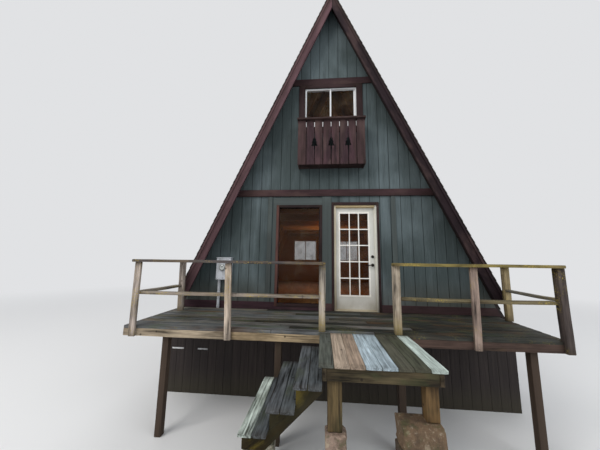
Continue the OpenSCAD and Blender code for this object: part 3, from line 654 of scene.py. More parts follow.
windowCasings(sliderSettings)
ringPiece("tall_window_bars", tallSettings.values(), stains["tall"], brownStain,
          ["tall_window_frame"])
ringPiece("door_casing_boards", [doorCasing], stains["dark"], brownStain, ["door_casing"])
print("trim done")

# roof

roofSettings = {
    "front": -0.268, "rear": 7.588, "eave": -0.15, "foot": 0.282, "planks": 51, "eavePlanks": 4, "gap": 0.0006,
    "plankTones": shades((128, 96, 66), (118, 88, 60), (136, 104, 74)),
    "shingleFront": -0.338, "shingleRear": 7.658, "exposure": 0.143, "eaveExposure": 0.158, "tab": 0.305,
    "keyway": 0.006, "rows": 50, "eaveRows": 3, "firstRow": 0.26, "topEdge": 7.49, "overlap": 0.012,
    "ragged": 0.0015, "firstTab": 0.35, "spareTabs": 3, "narrowest": 0.02,
    "butt": (0.0085, 0.016), "tail": (0.001, 0.007),
    "tabTones": shades((62, 56, 52), (54, 49, 46), (72, 65, 59), (58, 54, 50)), "moss": shade(58, 62, 44),
    "capPitch": 0.146, "capLong": 0.185, "capDrop": (0.146, 0.0146, 0.006, 0.0146, 0.146), "capLift": 0.0025,
    "capFaces": (0.0005, 0.0055), "capTones": shades((64, 58, 53), (56, 51, 48)),
}


def roofPoint(side, s, y, n):
    # s runs up the slope from floor level, n stands out of the inner plank face, side is 1 on the right
    return xyz(side * (cabin["halfWidth"] - s * run + n * rise), y, s * rise + n * run)


def roofPlanks(s):
    low, foot, top = s["eave"] / rise, s["foot"] / rise, cabin["peak"] / rise
    edges = np.append(np.linspace(low, foot, s["eavePlanks"] + 1), np.linspace(foot, top, s["planks"] + 1)[1:])
    middle, wide = (edges[1:] + edges[:-1]) / 2, edges[1:] - edges[:-1] - s["gap"]
    front, thick = np.where(middle < foot, 0.0, s["front"]), cabin["plank"] * rise
    parts = [boardRings(roofPoint(side, middle, front, thick / 2), roofPoint(side, middle, s["rear"], thick / 2),
                        (side * -run, 0, rise), wide, thick, plainBoard) for side in (-1, 1)]
    barPiece("roof_planks_boards", parts, [s["plankTones"]] * 2, roofPlank, ["roof_deck"], spread=0.1)


def shinglePaint(s):
    paint = Paint("shingleGranules", 0.92)
    place = paint.place()
    x, y, z = paint.split(place)
    grit, blotch = paint.noise(place, 420, 2.0, 0.7), paint.noise(place, 2.6)
    streak = paint.noise((y * 9, x * 1.2, z * 0.5))
    colour = paint.dim(paint.attribute("tone", "Color"), 0.62 + grit * 0.5 + blotch * 0.3)
    colour = paint.mix(0.16, colour, paint.cells(place, 330, "Color"), "SOFT_LIGHT")
    return paint.finish(BaseColor=paint.mix(streak.band(0.56, 0.74) * 0.4, colour, s["moss"]),
                        Normal=paint.bump(grit + blotch * 0.5, 0.0016))


def roofShingles(s):
    # each tab is a thin wedge whose butt stands off the course below, and courses are half a tab apart
    lows = np.append(s["firstRow"] - s["eaveExposure"] * np.arange(s["eaveRows"], 0, -1),
                     s["firstRow"] + s["exposure"] * np.arange(s["rows"]))
    highs = np.minimum(np.append(lows[1:], lows[-1] + s["exposure"]) + s["overlap"], s["topEdge"])
    per = int((s["shingleRear"] - s["shingleFront"]) / s["tab"]) + s["spareTabs"]
    course = np.arange(len(lows))[:, None]
    y0 = s["shingleFront"] - s["tab"] * (course % 2 / 2 + s["firstTab"]) + s["tab"] * np.arange(per)
    front = np.where(course < s["eaveRows"], 0.0, s["shingleFront"])
    ya = np.maximum(y0 + s["keyway"] / 2, front)
    yb = np.minimum(y0 + s["tab"] - s["keyway"] / 2, s["shingleRear"])
    keep = yb - ya > s["narrowest"]
    ya, yb, low, high = (v[keep] for v in np.broadcast_arrays(ya, yb, lows[:, None], highs[:, None]))
    count, base = len(ya), cabin["plank"] * rise
    rings, tones = [], []
    for side in (-1, 1):
        butt = low + rng.uniform(-s["ragged"], s["ragged"], count)
        butt[low == lows[0]] = lows[0]
        lift = rng.uniform(0, s["ragged"], count)
        # the lower face, then the upper one, each from the butt's two corners to the tail's
        faces = [[roofPoint(side, butt, ya, base + b + lift), roofPoint(side, butt, yb, base + b + lift),
                  roofPoint(side, high, yb, base + t), roofPoint(side, high, ya, base + t)]
                 for b, t in zip(s["butt"], s["tail"])]
        rings.append(np.moveaxis(np.array(faces), 2, 0))
        tones.append(tonesOf(s["tabTones"], count, 0.14))
    rings = np.concatenate(rings)
    flat = np.zeros(rings.shape)
    ringsPiece("shingle_tabs", [(rings, flat, flat, np.concatenate(tones))], shingles, ["shingles"])


def ridgeCaps(s):
    # caps lapped along the ridge, each a strip of five points across the ridge line that lies on the next cap
    y0 = s["shingleFront"] + s["capPitch"] * np.arange(int((s["shingleRear"] - s["shingleFront"]) / s["capPitch"]))
    y1 = np.minimum(y0 + s["capLong"], s["shingleRear"])
    top = (cabin["halfWidth"] + cabin["plank"] + cabin["shingle"]) * slope
    side, drop = np.array([1, 1, 0, -1, -1]), np.array(s["capDrop"])
    middle = xyz(side * drop / slope, 0, top - drop)
    out = xyz(side * rise, 0, np.where(side == 0, 1, run))
    inner, outer = (middle + out * n for n in s["capFaces"])
    ring, lift = np.concatenate([outer, inner[::-1]]), np.concatenate([out, out[::-1]])
    rings = np.tile(np.stack([ring + lift * s["capLift"], ring]), (len(y0), 1, 1, 1))
    rings[..., 1] = np.stack([y0, y1], 1)[..., None]
    flat = np.zeros(rings.shape)
    barPiece("ridge_cap_tabs", [(rings, flat, flat)], [s["capTones"]], shingles, ["ridge_cap"],
             smooth=None, spread=0.12)


roofPlanks(roofSettings)
shingles = shinglePaint(roofSettings)
roofShingles(roofSettings)
ridgeCaps(roofSettings)
print("roof done")

# floors and framing

floorSettings = {
    "pitch": 0.14, "gap": 0.0008, "thick": 0.038,
    # half width, front, rear and top of each floor
    "floors": {"main_floor": (3.035, 0.0, 7.32, 0.0), "loft_floor": (1.7466, 0.12, 7.2, 2.4)},
    "tones": shades((176, 126, 74), (166, 116, 66), (184, 136, 84)),
}


def floorBoards(s):
    for node, (half, front, rear, top) in s["floors"].items():
        count = round(2 * half / s["pitch"])
        pitch = 2 * half / count
        x = (np.arange(count) + 0.5) * pitch - half
        rings = plankRow(x, front, rear, top, pitch - s["gap"], s["thick"], dict(plainBoard, ease=0.003))
        barPiece(node + "_boards", [rings], [s["tones"]], floorPine, [node], spread=0.1)


floorBoards(floorSettings)
easedCopy("rafters", warmPine, floorSettings["tones"], 0.004)
easedCopy("floor_joists", warmPine, floorSettings["tones"])
print("floors done")

# crawl space

crawlSettings = {
    "pitch": 0.152, "start": 3.2, "gap": 0.005, "depth": 0.008, "foot": -1.5, "top": 0.1,
    # the boards' brown and grey are darkened in part as painted shade under the deck
    "brown": shade(38, 30, 29), "grey": shade(54, 46, 43), "dark": shade(32, 25, 22), "joint": shade(22, 17, 15),
    "soil": shade(54, 50, 36),
    # each pair of walls: the axis their boards stand along, where the joints start and end, and the outer faces
    "walls": {"crawl_walls_ends": (0, -3.0, 3.0, (-0.3, 7.318)),
              "crawl_walls_sides": (1, -0.24, 7.25, (-3.029, 3.029))},
}


def crawlPaint(s, along):
    # upright boards told apart by their place in the pitch, their colours darkened in part as painted shade under the
    # deck; damp soil creeps up from the foot
    paint = Paint("crawlBoards" + "XY"[along])
    spot = paint.split(paint.place())
    u, z = spot[along], spot[2]
    place = (u + s["start"]) / s["pitch"]
    board = place.calc("FLOOR")
    pick = paint.noise((board * 7.31, 0.0, 0.0), 1.0, 0.0, 0.5)
    fibre = paint.noise((u * 120 + board * 3, board, z * 4))
    streak = paint.noise((u * 22, board * 5, z * 1.1))
    colour = paint.mix(streak.band(0.42, 0.7) * 0.7, s["brown"], s["grey"])
    edge = 1 - (place.calc("FRACT") - 0.5).calc("ABSOLUTE") * 2
    colour = paint.coats(paint.dim(colour, 0.55 + pick * 0.9), ((1 - fibre.band(0.3, 0.5)) * 0.5, s["dark"]),
                         ((1 - edge.band(0.02, 0.07)) * 0.7, s["joint"]),
                         ((1 - z.band(0.02, 0.5)) * (0.35 + streak * 0.6), s["soil"]))
    return paint.finish(BaseColor=colour, Roughness=0.84, Normal=paint.bump(fibre * 0.8 + streak, 0.003))


def crawlWalls(s):
    # upright joints between boards are cut into each outer face
    for wall, (along, first, last, faces) in s["walls"].items():
        shift = home[along] + s["start"]
        k = np.arange(math.ceil((first + shift) / s["pitch"]), math.floor((last + shift) / s["pitch"]) + 1)
        u, face = (v.ravel() for v in np.meshgrid(k * s["pitch"] - shift, faces))
        half, order = s["gap"] / 2, (along, 1 - along, 2)
        low, high = xyz(u - half, face - s["depth"], s["foot"]), xyz(u + half, face + s["depth"], s["top"])
        easedCopy(wall, crawlPaint(s, along), width=0, smooth=None,
                  carve=cutters(low[:, order], high[:, order]))


crawlWalls(crawlSettings)
print("crawl space done")

# door and windows

paintSettings = dict(paint=shade(215, 215, 210), aged=shade(194, 193, 185), dirt=shade(130, 118, 94),
                     dirtFrom=0.0, dirtTo=0.75, specks=0.25, rough=0.42)


def satinPaint(name, **given):
    # brushed paint, each part in its own tone, with dirt that gathers low down and in patches
    s = dict(paintSettings, **given)
    paint = Paint(name)
    place = paint.place()
    x, y, z = paint.split(place)
    broad, speck = paint.noise(place, 2.3), paint.noise(place, 38, 3.0, 0.65)
    brush = paint.noise((x * 60, y * 60, z * 5))
    colour = paint.mix(broad.band(0.4, 0.7) * 0.6, s["paint"], s["aged"])
    colour = paint.mix(1.0, colour, paint.attribute("tone", "Color"), "MULTIPLY")
    low = 1 - (z - home[2]).band(s["dirtFrom"], s["dirtTo"])
    dirt = low * (0.1 + broad * 0.75) + speck.band(0.58, 0.78) * s["specks"]
    colour = paint.mix(dirt.calc("MINIMUM", 0.8), colour, s["dirt"])
    return paint.finish(BaseColor=paint.dim(colour, 0.94 + brush * 0.12), Roughness=s["rough"] + broad * 0.16,
                        Normal=paint.bump(brush * 0.6 + speck * 0.3, 0.0008))


def darkMetal(name, clean, worn):
    paint = Paint(name)
    wear = paint.noise(paint.place(), 70)
    return paint.finish(BaseColor=paint.mix(wear.band(0.5, 0.8) * 0.6, clean, worn), Metallic=0.7,
                        Roughness=0.32 + wear * 0.3, Normal=paint.bump(wear, 0.0004))


def plainSteel(name, clean, rusty, share):
    # brushed metal with rust that gathers in spots
    paint = Paint(name)
    place = paint.place()
    x, y, z = paint.split(place)
    brush = paint.noise((x * 400, y * 400, z * 30), 1.0, 2.0, 0.5)
    rust = paint.noise(place, 46).band(0.55, 0.72)
    return paint.finish(BaseColor=paint.mix(rust * share, clean, rusty), Metallic=0.9 - rust * 0.7,
                        Roughness=0.3 + brush * 0.2 + rust * 0.3)


def paneGlass(name, dark, pale, alpha):
    # clear panes with a slight roll and a thin haze, part see-through; the haze mixes the dark tint with warm brown
    # patches, a painted reflection of trees
    paint = Paint(name, gloss=0.3)
    place = paint.place()
    haze = paint.noise(place, 4.0, 4.0, 0.65)
    return paint.finish(BaseColor=paint.mix(haze.band(0.4, 0.72), dark, pale), Roughness=0.03 + haze * 0.1,
                        Alpha=alpha + haze.band(0.45, 0.8) * 0.2,
                        Normal=paint.bump(paint.noise(place, 1.6, 1.0, 0.5), 0.003))


creamPaint = satinPaint("creamPaint")
whiteBars = satinPaint("whiteBars", paint=shade(240, 238, 232), aged=shade(228, 225, 216), specks=0.06,
                       rough=0.36, dirt=shade(170, 158, 134))
whiteVinyl = satinPaint("whiteVinyl", paint=shade(226, 228, 230), aged=shade(212, 214, 214),
                        dirt=shade(150, 148, 138), dirtFrom=-9.0, dirtTo=-8.0, specks=0.08, rough=0.38)
darkBronze = darkMetal("darkBronze", shade(34, 30, 27), shade(82, 70, 56))
platedSteel = plainSteel("platedSteel", shade(176, 170, 156), shade(106, 72, 48), 0.7)
nailSteel = plainSteel("nailSteel", shade(78, 72, 68), shade(62, 42, 32), 1.0)
# a dark tint and a warm brown whose patches are a painted reflection of trees
doorPane = paneGlass("doorPane", shade(30, 20, 15), shade(80, 52, 32), 0.28)
windowPane = paneGlass("windowPane", shade(24, 19, 14), shade(70, 55, 36), 0.24)

# rows for barRing, and the tones of the left jamb, right jamb, head and sill, times the paint's own colour; the right
# jamb is brighter as painted sunlight
frameSettings = {
    "jambs": (0.03, 0.885, 0.0, 2.084, 0.038, 0.038, 0.022, 0.06, 0.12, 0.003),
    "stops": (0.067, 0.848, 0.021, 2.047, 0.013, 0.013, 0.012, 0.052, 0.024, 0.003),
}
frameTones = [(0.86, 0.76, 0.6, 1), (1.04, 1.03, 0.98, 1), (0.8, 0.62, 0.36, 1), (0.86, 0.76, 0.6, 1)]
ringPiece("door_frame_bars", frameSettings.values(), frameTones, creamPaint, ["door_frame"], 0.0)
easedCopy("door_slab", creamPaint, body="door")
easedCopy("door_grille", whiteBars, width=0.0025, segments=3, body="door")
easedCopy("door_handle", darkBronze, width=0.001, body="door", smooth=50)
easedCopy("hinge_door_leaves", platedSteel, width=0.0006, body="door")
easedCopy("hinge_frame_leaves", platedSteel, width=0.0006)
easedCopy("door_glass", doorPane, width=0.001, body="door")
easedCopy("window_glass", windowPane, width=0.001)
easedCopy("slider_frames", whiteVinyl, width=0.0025)
print("doors and windows done")

# balcony

# a dark brown stain whose purple cast is painted blue shade light
balconyTones = shades((62, 43, 48), (57, 40, 45), (66, 47, 51), (60, 42, 47))
easedCopy("balcony_boards", balconyStain, balconyTones)
easedCopy("balcony_box", balconyStain, shades((50, 35, 38)))
easedCopy("balcony_cap", balconyStain, shades((54, 37, 40)), 0.004, 3)

# deck

deckSettings = {
    "left": -3.03, "rightFront": 2.851, "rightWall": 2.971, "front": -1.52, "pitch": 0.152, "wide": 0.146,
    "thick": 0.038, "count": 10, "corner": 2.761, "cornerRear": -1.47, "joist": 0.038, "joists": 10, "low": -0.14,
    "joints": [6, 4, 7, 3, 6, 5, 7, 4, 6, 3], "jointGap": 0.003, "rims": [-3.03, -1.491, 0.791], "rimGap": 0.002,
    "notchGap": 0.001, "notchEnd": 2.853, "joistGap": 0.001,
    # the left half is greyer and paler, the right half mossy and darker, its darkness partly painted shade
    "leftTones": shades((94, 96, 97), (86, 89, 90), (103, 102, 99), (80, 83, 82), (93, 90, 83)),
    "rightTones": shades((50, 51, 47), (45, 48, 43), (55, 55, 51)),
    "rimTones": shades((156, 142, 122), (158, 140, 112), (66, 52, 46)),
    "joistTones": shades((104, 92, 80), (92, 82, 72)),
}


def deckEnd(s, y):
    # the right end of the deck lies further right at the wall
    return s["rightFront"] + (s["rightWall"] - s["rightFront"]) * (y - s["front"]) / -s["front"]


def joistPlaces(s):
    spacing = (s["rightFront"] - s["left"] - s["joist"]) / s["joists"]
    return s["left"] + s["joist"] / 2 + np.arange(s["joists"]) * spacing


def deckBoards(s):
    # each row is two boards that meet over a joist; the front row is notched for the corner post
    row, count, gap = np.arange(s["count"]), s["count"], s["jointGap"] / 2
    y = s["front"] + row * s["pitch"] + s["wide"] / 2
    joint = joistPlaces(s)[s["joints"]]
    right = np.where(row == 0, s["corner"], deckEnd(s, y - s["wide"] / 2))
    rear = s["front"] + s["wide"]
    x0 = np.concatenate([np.full(count, s["left"]), joint + gap, [s["corner"] + s["notchGap"]]])
    x1 = np.concatenate([joint - gap, right, [s["notchEnd"]]])
    middles = np.concatenate([y, y, [(s["cornerRear"] + rear) / 2]])
    wide = np.append(np.full(2 * count, s["wide"]), rear - s["cornerRear"])
    z = -s["thick"] / 2
    rings = boardRings(xyz(x0, middles, z), xyz(x1, middles, z), (0, 1, 0), wide, s["thick"],
                       dict(boardShape, ease=0.005, wobble=0.0012, stations=9, cup=0.002))
    left, dark = s["leftTones"], s["rightTones"]
    tones = [left[i % len(left)] for i in range(count)] + [dark[i % len(dark)] for i in range(count + 1)]
    barPiece("deck_planks", [rings], [tones], deckWood, ["deck_boards"], spread=0.08)


def deckFrame(s):
    # the front rim in three lengths, the square joists, then one that follows the skewed end, and the ledger
    high, mid, half = -s["thick"] - s["low"], (-s["thick"] + s["low"]) / 2, s["joist"] / 2
    x0 = np.array(s["rims"])
    x1 = np.append(x0[1:] - s["rimGap"], s["corner"])
    rim = boardRings(xyz(x0, s["front"] + half, mid), xyz(x1, s["front"] + half, mid), (0, 0, 1), high, s["joist"],
                     dict(boardShape, wobble=0.0015, cup=0.001))
    y0, y1, joists = s["front"] + s["joist"] + s["joistGap"], -s["joist"] - s["joistGap"], joistPlaces(s)
    starts = [(deckEnd(s, s["cornerRear"]) - half, s["cornerRear"], mid), (s["left"], -half, mid)]
    ends = [(deckEnd(s, y1) - half, y1, mid), (deckEnd(s, -s["joist"]), -half, mid)]
    inner = boardRings(np.vstack([xyz(joists, y0, mid), starts]), np.vstack([xyz(joists, y1, mid), ends]),
                       (0, 0, 1), high, s["joist"], dict(boardShape, ease=0.003, wobble=0.0, stations=3, flat=1))
    barPiece("deck_frame_boards", [rim, inner], [s["rimTones"], s["joistTones"]], deckEdgeWood,
             ["deck_frame"])


deckBoards(deckSettings)
deckFrame(deckSettings)
easedCopy("deck_posts", crawlWallWood, shades((70, 58, 50)), 0.005)

railSettings = {
    "side": 0.089, "lap": 0.04, "high": 0.895, "cap": 0.038, "capWide": 0.14, "front": -1.52, "rim": -0.14,
    "middle": 0.455, "raised": 0.042, "sag": 0.005,
    # the left side of each outer post at its foot and its head; of each square one also its front and its foot
    "outer": [(-2.925, -2.93), (-1.537, -1.577), (1.702, 1.716)],
    "square": [(-0.25, -0.25, -1.49, 0.0), (0.751, 0.751, -1.512, 0.0), (-2.89, -2.905, -0.431, 0.0),
               (2.876, 2.881, -0.431, 0.0), (2.762, 2.762, -1.56, -0.14)],
    # x and y where each cap and each middle board starts and ends, and the middle board's height
    "caps": [(-2.955, -1.528, -0.161, -1.528), (0.742, -1.528, 2.838, -1.528), (-2.885, -1.457, -2.885, -0.348),
             (2.768, -1.457, 2.925, -0.348)],
    "mids": [(-2.955, -1.46, -0.25, -1.46, 0.12), (0.84, -1.46, 2.761, -1.46, 0.12),
             (-2.895, -1.399, -2.895, -0.431, 0.12), (2.8065, -1.471, 2.9205, -0.431, 0.089)],
    "outerTones": shades((150, 139, 131), (172, 158, 144), (136, 119, 109)),
    "squareTones": shades((154, 145, 134), (174, 161, 144), (166, 155, 146), (140, 126, 96), (68, 60, 57)),
    "capTones": shades((80, 74, 73), (118, 106, 62), (120, 111, 100), (134, 123, 94)),
    "midTones": shades((140, 130, 120), (106, 97, 74), (124, 116, 106), (112, 108, 98)),
}


def railPosts(s):
    # a post leans from its foot to its top; the outer ones are cut down to a lap where they pass the rim
    half, shape = s["side"] / 2, dict(boardShape, ease=0.006, wobble=0.0012)
    foot, head = np.array(s["outer"]).T + half
    y = s["front"] - s["lap"] / 2
    outer = boardRings(xyz(foot, y, s["rim"]), xyz(head, y, s["high"]), (1, 0, 0), s["side"], s["lap"], shape)
    foot, head, y, low = np.array(s["square"]).T
    square = boardRings(xyz(foot + half, y + half, low), xyz(head + half, y + half, s["high"]), (1, 0, 0),
                        s["side"], s["side"], shape)
    barPiece("rail_post_bars", [outer, square], [s["outerTones"], s["squareTones"]], railWood,
             ["rail_posts"], spread=0.05)


def railBoards(s):
    # flat cap boards over the posts and flat middle boards behind them; the right side slants in to the front
    shape = dict(boardShape, ease=0.006, wobble=0.002, stations=10, flat=3, cup=0.002)
    across = [(0, 1, 0), (0, 1, 0), (-1, 0, 0), (-1, 0, 0)]
    x0, y0, x1, y1 = np.array(s["caps"]).T
    top, mid = s["high"] + s["cap"] / 2, s["middle"] + np.array([0, 0, 0, s["raised"]])
    caps = boardRings(xyz(x0, y0, top), xyz(x1, y1, top), across, s["capWide"], s["cap"], shape)
    x0, y0, x1, y1, wide = np.array(s["mids"]).T
    mids = boardRings(xyz(x0, y0, mid), xyz(x1, y1, mid), across, wide, s["cap"], dict(shape, sag=s["sag"]))
    barPiece("rail_boards", [caps, mids], [s["capTones"], s["midTones"]], railWood, ["rails"],
             spread=0.1)


railPosts(railSettings)
railBoards(railSettings)
print("deck done")

# landing and steps

landingSettings = {
    "x": -0.24, "pitch": 0.143, "wide": 0.139, "thick": 0.03, "front": -2.58, "rear": -1.521,
    "set": [0.006, 0, 0, 0, 0, 0.005, 0.005, 0], "low": -0.145, "joist": 0.038,
    "tones": shades((84, 88, 82), (162, 146, 130), (154, 136, 120), (168, 184, 193), (163, 179, 188), (79, 79, 68),
                    (71, 73, 61), (182, 196, 190)),
    # x and y at both ends of the three joists and of the front rim
    "frame": [(-0.186, -2.566, -0.186, -1.52), (0.3315, -2.523, 0.3315, -1.52), (0.849, -2.566, 0.849, -1.52),
              (-0.166, -2.543, 0.829, -2.543)],
    "frameTones": shades((62, 55, 41), (58, 51, 39), (66, 56, 42), (66, 58, 42)),
}


def landingPlaces(s):
    return s["x"] + np.arange(len(s["set"])) * s["pitch"] + s["wide"] / 2


def landing(s):
    rings = plankRow(landingPlaces(s), s["front"] + np.array(s["set"]), s["rear"], 0.0, s["wide"], s["thick"],
                     dict(boardShape, ease=0.005, wobble=0.0012, stations=9, cup=0.002, flat=3))
    barPiece("landing_planks", [rings], [s["tones"]], landingWood, ["landing_boards"], spread=0.03)
    x0, y0, x1, y1 = np.array(s["frame"]).T
    mid = (s["low"] - s["thick"]) / 2
    rings = boardRings(xyz(x0, y0, mid), xyz(x1, y1, mid), (0, 0, 1), -s["thick"] - s["low"], s["joist"],
                       dict(boardShape, wobble=0.0015, flat=3))
    barPiece("landing_frame_boards", [rings], [s["frameTones"]], landingFrameWood,
             ["landing_frame"])


landing(landingSettings)
easedCopy("landing_legs", landingFrameWood, shades((92, 78, 52), (102, 80, 51)), 0.006, 3)

treadSettings = {
    "x": [-0.464, -0.704, -0.944], "step": 0.13, "wide": 0.124, "thick": 0.03, "tops": [-0.155, -0.355, -0.555],
    "front": -2.68, "rear": -1.58,
    # two boards a step, the lowest outer one newer and pale
    "tones": shades((84, 88, 92), (78, 83, 86), (84, 88, 92), (78, 83, 86), (174, 185, 178), (78, 83, 86)),
}


def treadPlaces(s):
    return (np.array(s["x"])[:, None] + (0, s["step"]) + s["wide"] / 2).ravel(), np.repeat(s["tops"], 2)


def stairTreads(s):
    x, top = treadPlaces(s)
    rings = plankRow(x, s["front"], s["rear"], top, s["wide"], s["thick"],
                     dict(boardShape, ease=0.006, wobble=0.0015, stations=10, cup=0.003, flat=3))
    barPiece("tread_planks", [rings], [s["tones"]], treadWood, ["stair_treads"], spread=0.05)


stairTreads(treadSettings)
easedCopy("stair_stringers", stringerWood, shades((42, 34, 14), (37, 31, 13)), 0.005, 3)

blockSettings = {
    "around": 40, "up": 20, "square": 0.15, "rough": 0.0063, "inset": 0.014,
    # how fast each of the three sines turns with x, y and z, and how much of each is taken
    "waves": [(7, 5, 0), (0, 9, 6), (17, 0, -13)], "shares": (1, 1, 0.6),
    "pale": shade(176, 168, 150), "pit": shade(48, 44, 36), "stain": shade(66, 52, 40),
    "lime": shade(186, 172, 148), "moss": shade(74, 80, 46),
    # sides and top of each pier, its courses, and its tones from the ground up
    "piers": [
        ((-0.187, 0.018, -2.574, -2.374, -0.585), 4, shades((154, 132, 115), (142, 122, 108))),
        ((0.46, 0.86, -2.62, -2.36, -0.455), 5, shades((104, 84, 64), (86, 73, 57))),
        ((-0.95, -0.76, -2.626, -2.436, -0.76), 3, shades((150, 146, 134))),
        ((-0.95, -0.76, -1.796, -1.606, -0.76), 3, shades((150, 146, 134))),
    ],
}


def stonePaint(s):
    paint = Paint("mossyBlocks", 0.9)
    place = paint.place()
    grit, broad = paint.noise(place, 150, 3.0, 0.7), paint.noise(place, 9, 4.0, 0.65)
    moss, lump = paint.noise(place, 7, 5.0, 0.75), paint.noise(place, 36, 4.0, 0.7)
    pit, stain = 1 - paint.cells(place, 70).band(0.1, 0.22), paint.noise(place, 5.5, 4.0, 0.65)
    colour = paint.dim(paint.attribute("tone", "Color"), 0.1 + grit * 0.6 + broad * 0.6 + lump * 0.7)
    colour = paint.coats(colour, (lump.band(0.56, 0.7) * 0.5, s["pale"]), (pit * 0.6, s["pit"]),
                         (stain.band(0.5, 0.62) * 0.6, s["stain"]), ((1 - stain.band(0.34, 0.42)) * 0.5, s["lime"]),
                         (moss.band(0.5, 0.68) * 0.65, s["moss"]))
    relief = grit * 0.6 + broad + lump + moss * 0.8 - pit * 0.8
    return paint.finish(BaseColor=colour, Normal=paint.bump(relief, 0.008))


def roughBlocks(s):
    # each block is a superellipsoid, cos and sin to a small power so that it is nearly a box, swollen and
    # hollowed by a sum of three sines of the direction, and held inside its own box
    def flattened(w):
        return np.sign(w) * np.abs(w) ** s["square"]

    u, v = np.meshgrid(np.linspace(-math.pi, math.pi, s["around"] + 1)[:-1],
                       np.linspace(-math.pi / 2, math.pi / 2, s["up"]))
    unit = xyz(flattened(np.cos(v)) * flattened(np.cos(u)), flattened(np.cos(v)) * flattened(np.sin(u)),
               flattened(np.sin(v)))
    waves, shares = np.array(s["waves"]).T, np.array(s["shares"])
    blocks, tones = [], []
    for (x0, x1, y0, y1, top), courses, shadesUp in s["piers"]:
        levels = np.linspace(cabin["ground"], top, courses + 1)
        for i in range(courses):
            inset = rng.uniform(0.0, s["inset"], 4) * (i < courses - 1)
            low = np.array([x0 + inset[0], y0 + inset[1], levels[i]])
            high = np.array([x1 - inset[2], y1 - inset[3], levels[i + 1]])
            phase = rng.uniform(*anyPhase, 6)[:3]
            swell = np.sin(unit @ waves + phase) @ shares
            shape = unit * (1 - s["rough"] * (shares.sum() + swell) / (high - low).min())[..., None]
            blocks.append((low + high) / 2 + shape * (high - low) / 2)
            tones.append(tonesOf([shadesUp[i % len(shadesUp)]], 1, 0.12))
    blocks = np.array(blocks)
    index = np.arange(blocks[..., 0].size).reshape(blocks.shape[:-1])
    mesh = newMesh("pier_blocks", blocks, [bands(index)], tone=np.repeat(np.concatenate(tones), u.size, axis=0))
    newPiece("pier_blocks", mesh, stonePaint(s), ["block_piers"], 60)


roughBlocks(blockSettings)
print("landing and steps done")

# meter

meterSettings = {
    "dial": (-2.185, -0.12, 0.792), "dialSteps": 48, "pipe": (-2.265, -0.05), "pipeSteps": 32,
    # radius and distance out of the box of the round cover and the ring that holds it
    "dome": [(0.001, 0.0005), (0.065, 0.001), (0.065, 0.014), (0.0625, 0.026), (0.056, 0.0345), (0.044, 0.0405),
             (0.024, 0.044), (0.001, 0.0448)],
    "ring": [(0.064, 0.0005), (0.0718, 0.0005), (0.0718, 0.014), (0.07, 0.017), (0.0665, 0.017), (0.064, 0.014),
             (0.064, 0.0005)],
    # radius and height of a band round the conduit, and the bands' places
    "band": [(0.026, -0.014), (0.031, -0.013), (0.032, 0), (0.031, 0.013), (0.026, 0.014)],
    "bandsAt": (0.045, 0.3, 0.535),
    # the lip round the lid, as a row for barRing; the hasp's ends and width, middle and thickness in y, easing
    "lid": (-2.303, -2.037, 0.571, 0.963, 0.014, 0.014, 0.014, -0.1215, 0.004, 0.0012),
    "hasp": ([(-2.185, 0.587, -2.185, 0.632, 0.03)], -0.124, 0.01, 0.0015),
    # the grey and the worn grey are lighter than the box's own paint, in part as painted sunlight
    "grey": shade(192, 196, 203), "worn": shade(164, 168, 172), "runs": shade(104, 94, 78),
    "specks": shade(88, 74, 58),
    # on the dial: the ring's inner and outer radius, the window's half width, half height and height, soft edges
    "dialRing": (0.046, 0.058), "window": (0.026, 0.008, 0.016), "soft": 0.002, "dialTint": shade(196, 200, 198),
    "hazeTint": shade(168, 174, 172), "ringTint": shade(58, 60, 60), "windowTint": shade(36, 38, 38),
}


def meterPaint(s):
    paint = Paint("meterGrey")
    place = paint.place()
    x, y, z = paint.split(place)
    broad, speck = paint.noise(place, 9, 4.0, 0.65), paint.noise(place, 90, 3.0, 0.7)
    runs = paint.noise((x * 60, y * 30, z * 3))
    colour = paint.coats(s["grey"], (broad.band(0.4, 0.68), s["worn"]), (runs.band(0.55, 0.75) * 0.5, s["runs"]),
                         (speck.band(0.62, 0.74) * 0.5, s["specks"]))
    return paint.finish(BaseColor=colour, Roughness=0.42 + broad * 0.24, Metallic=0.2,
                        Normal=paint.bump(speck + broad, 0.0008))


def dialPaint(s):
    # a pale dial with a dark ring and a dark window for the counter, painted by distance from the middle
    paint = Paint("meterDial")
    u, w, out = paint.split(paint.attribute("face"))
    haze = paint.noise(paint.place(), 30)
    wide, high, middle = s["window"]

    def beyond(distance, edge):
        return distance.band(edge, edge + s["soft"])

    inner, outer = (beyond((u * u + w * w).calc("SQRT"), radius) for radius in s["dialRing"])
    window = (1 - beyond(u.calc("ABSOLUTE"), wide)) * (1 - beyond((w - middle).calc("ABSOLUTE"), high))
    colour = paint.coats(s["dialTint"], (haze, s["hazeTint"]), (inner * (1 - outer) * 0.85, s["ringTint"]),
                         (window * 0.9, s["windowTint"]))
    return paint.finish(BaseColor=colour, Roughness=0.08 + haze * 0.1, CoatWeight=0.6 + haze * 0.2,
                        Normal=paint.bump(haze, 0.0006))


def turnedPiece(name, profile, middles, steps, material, replaced=(), smooth=35, upright=False):
    # a profile of radius and reach is carried once round each middle: radius * cos, radius * sin, reach,
    # where reach goes up or out of the wall
    angle = np.linspace(0, 2 * math.pi, steps, endpoint=False)
    radius, reach = np.array(profile).T[..., None]
    face = np.tile(xyz(radius * np.cos(angle), radius * np.sin(angle), reach), (len(middles), 1, 1, 1))
    points = (face if upright else face[..., (0, 2, 1)] * (1, -1, 1)) + np.array(middles)[:, None, None]
    mesh = newMesh(name, points, [bands(np.arange(face[..., 0].size).reshape(face.shape[:-1]))], face=face)
    newPiece(name, mesh, material, replaced, smooth)


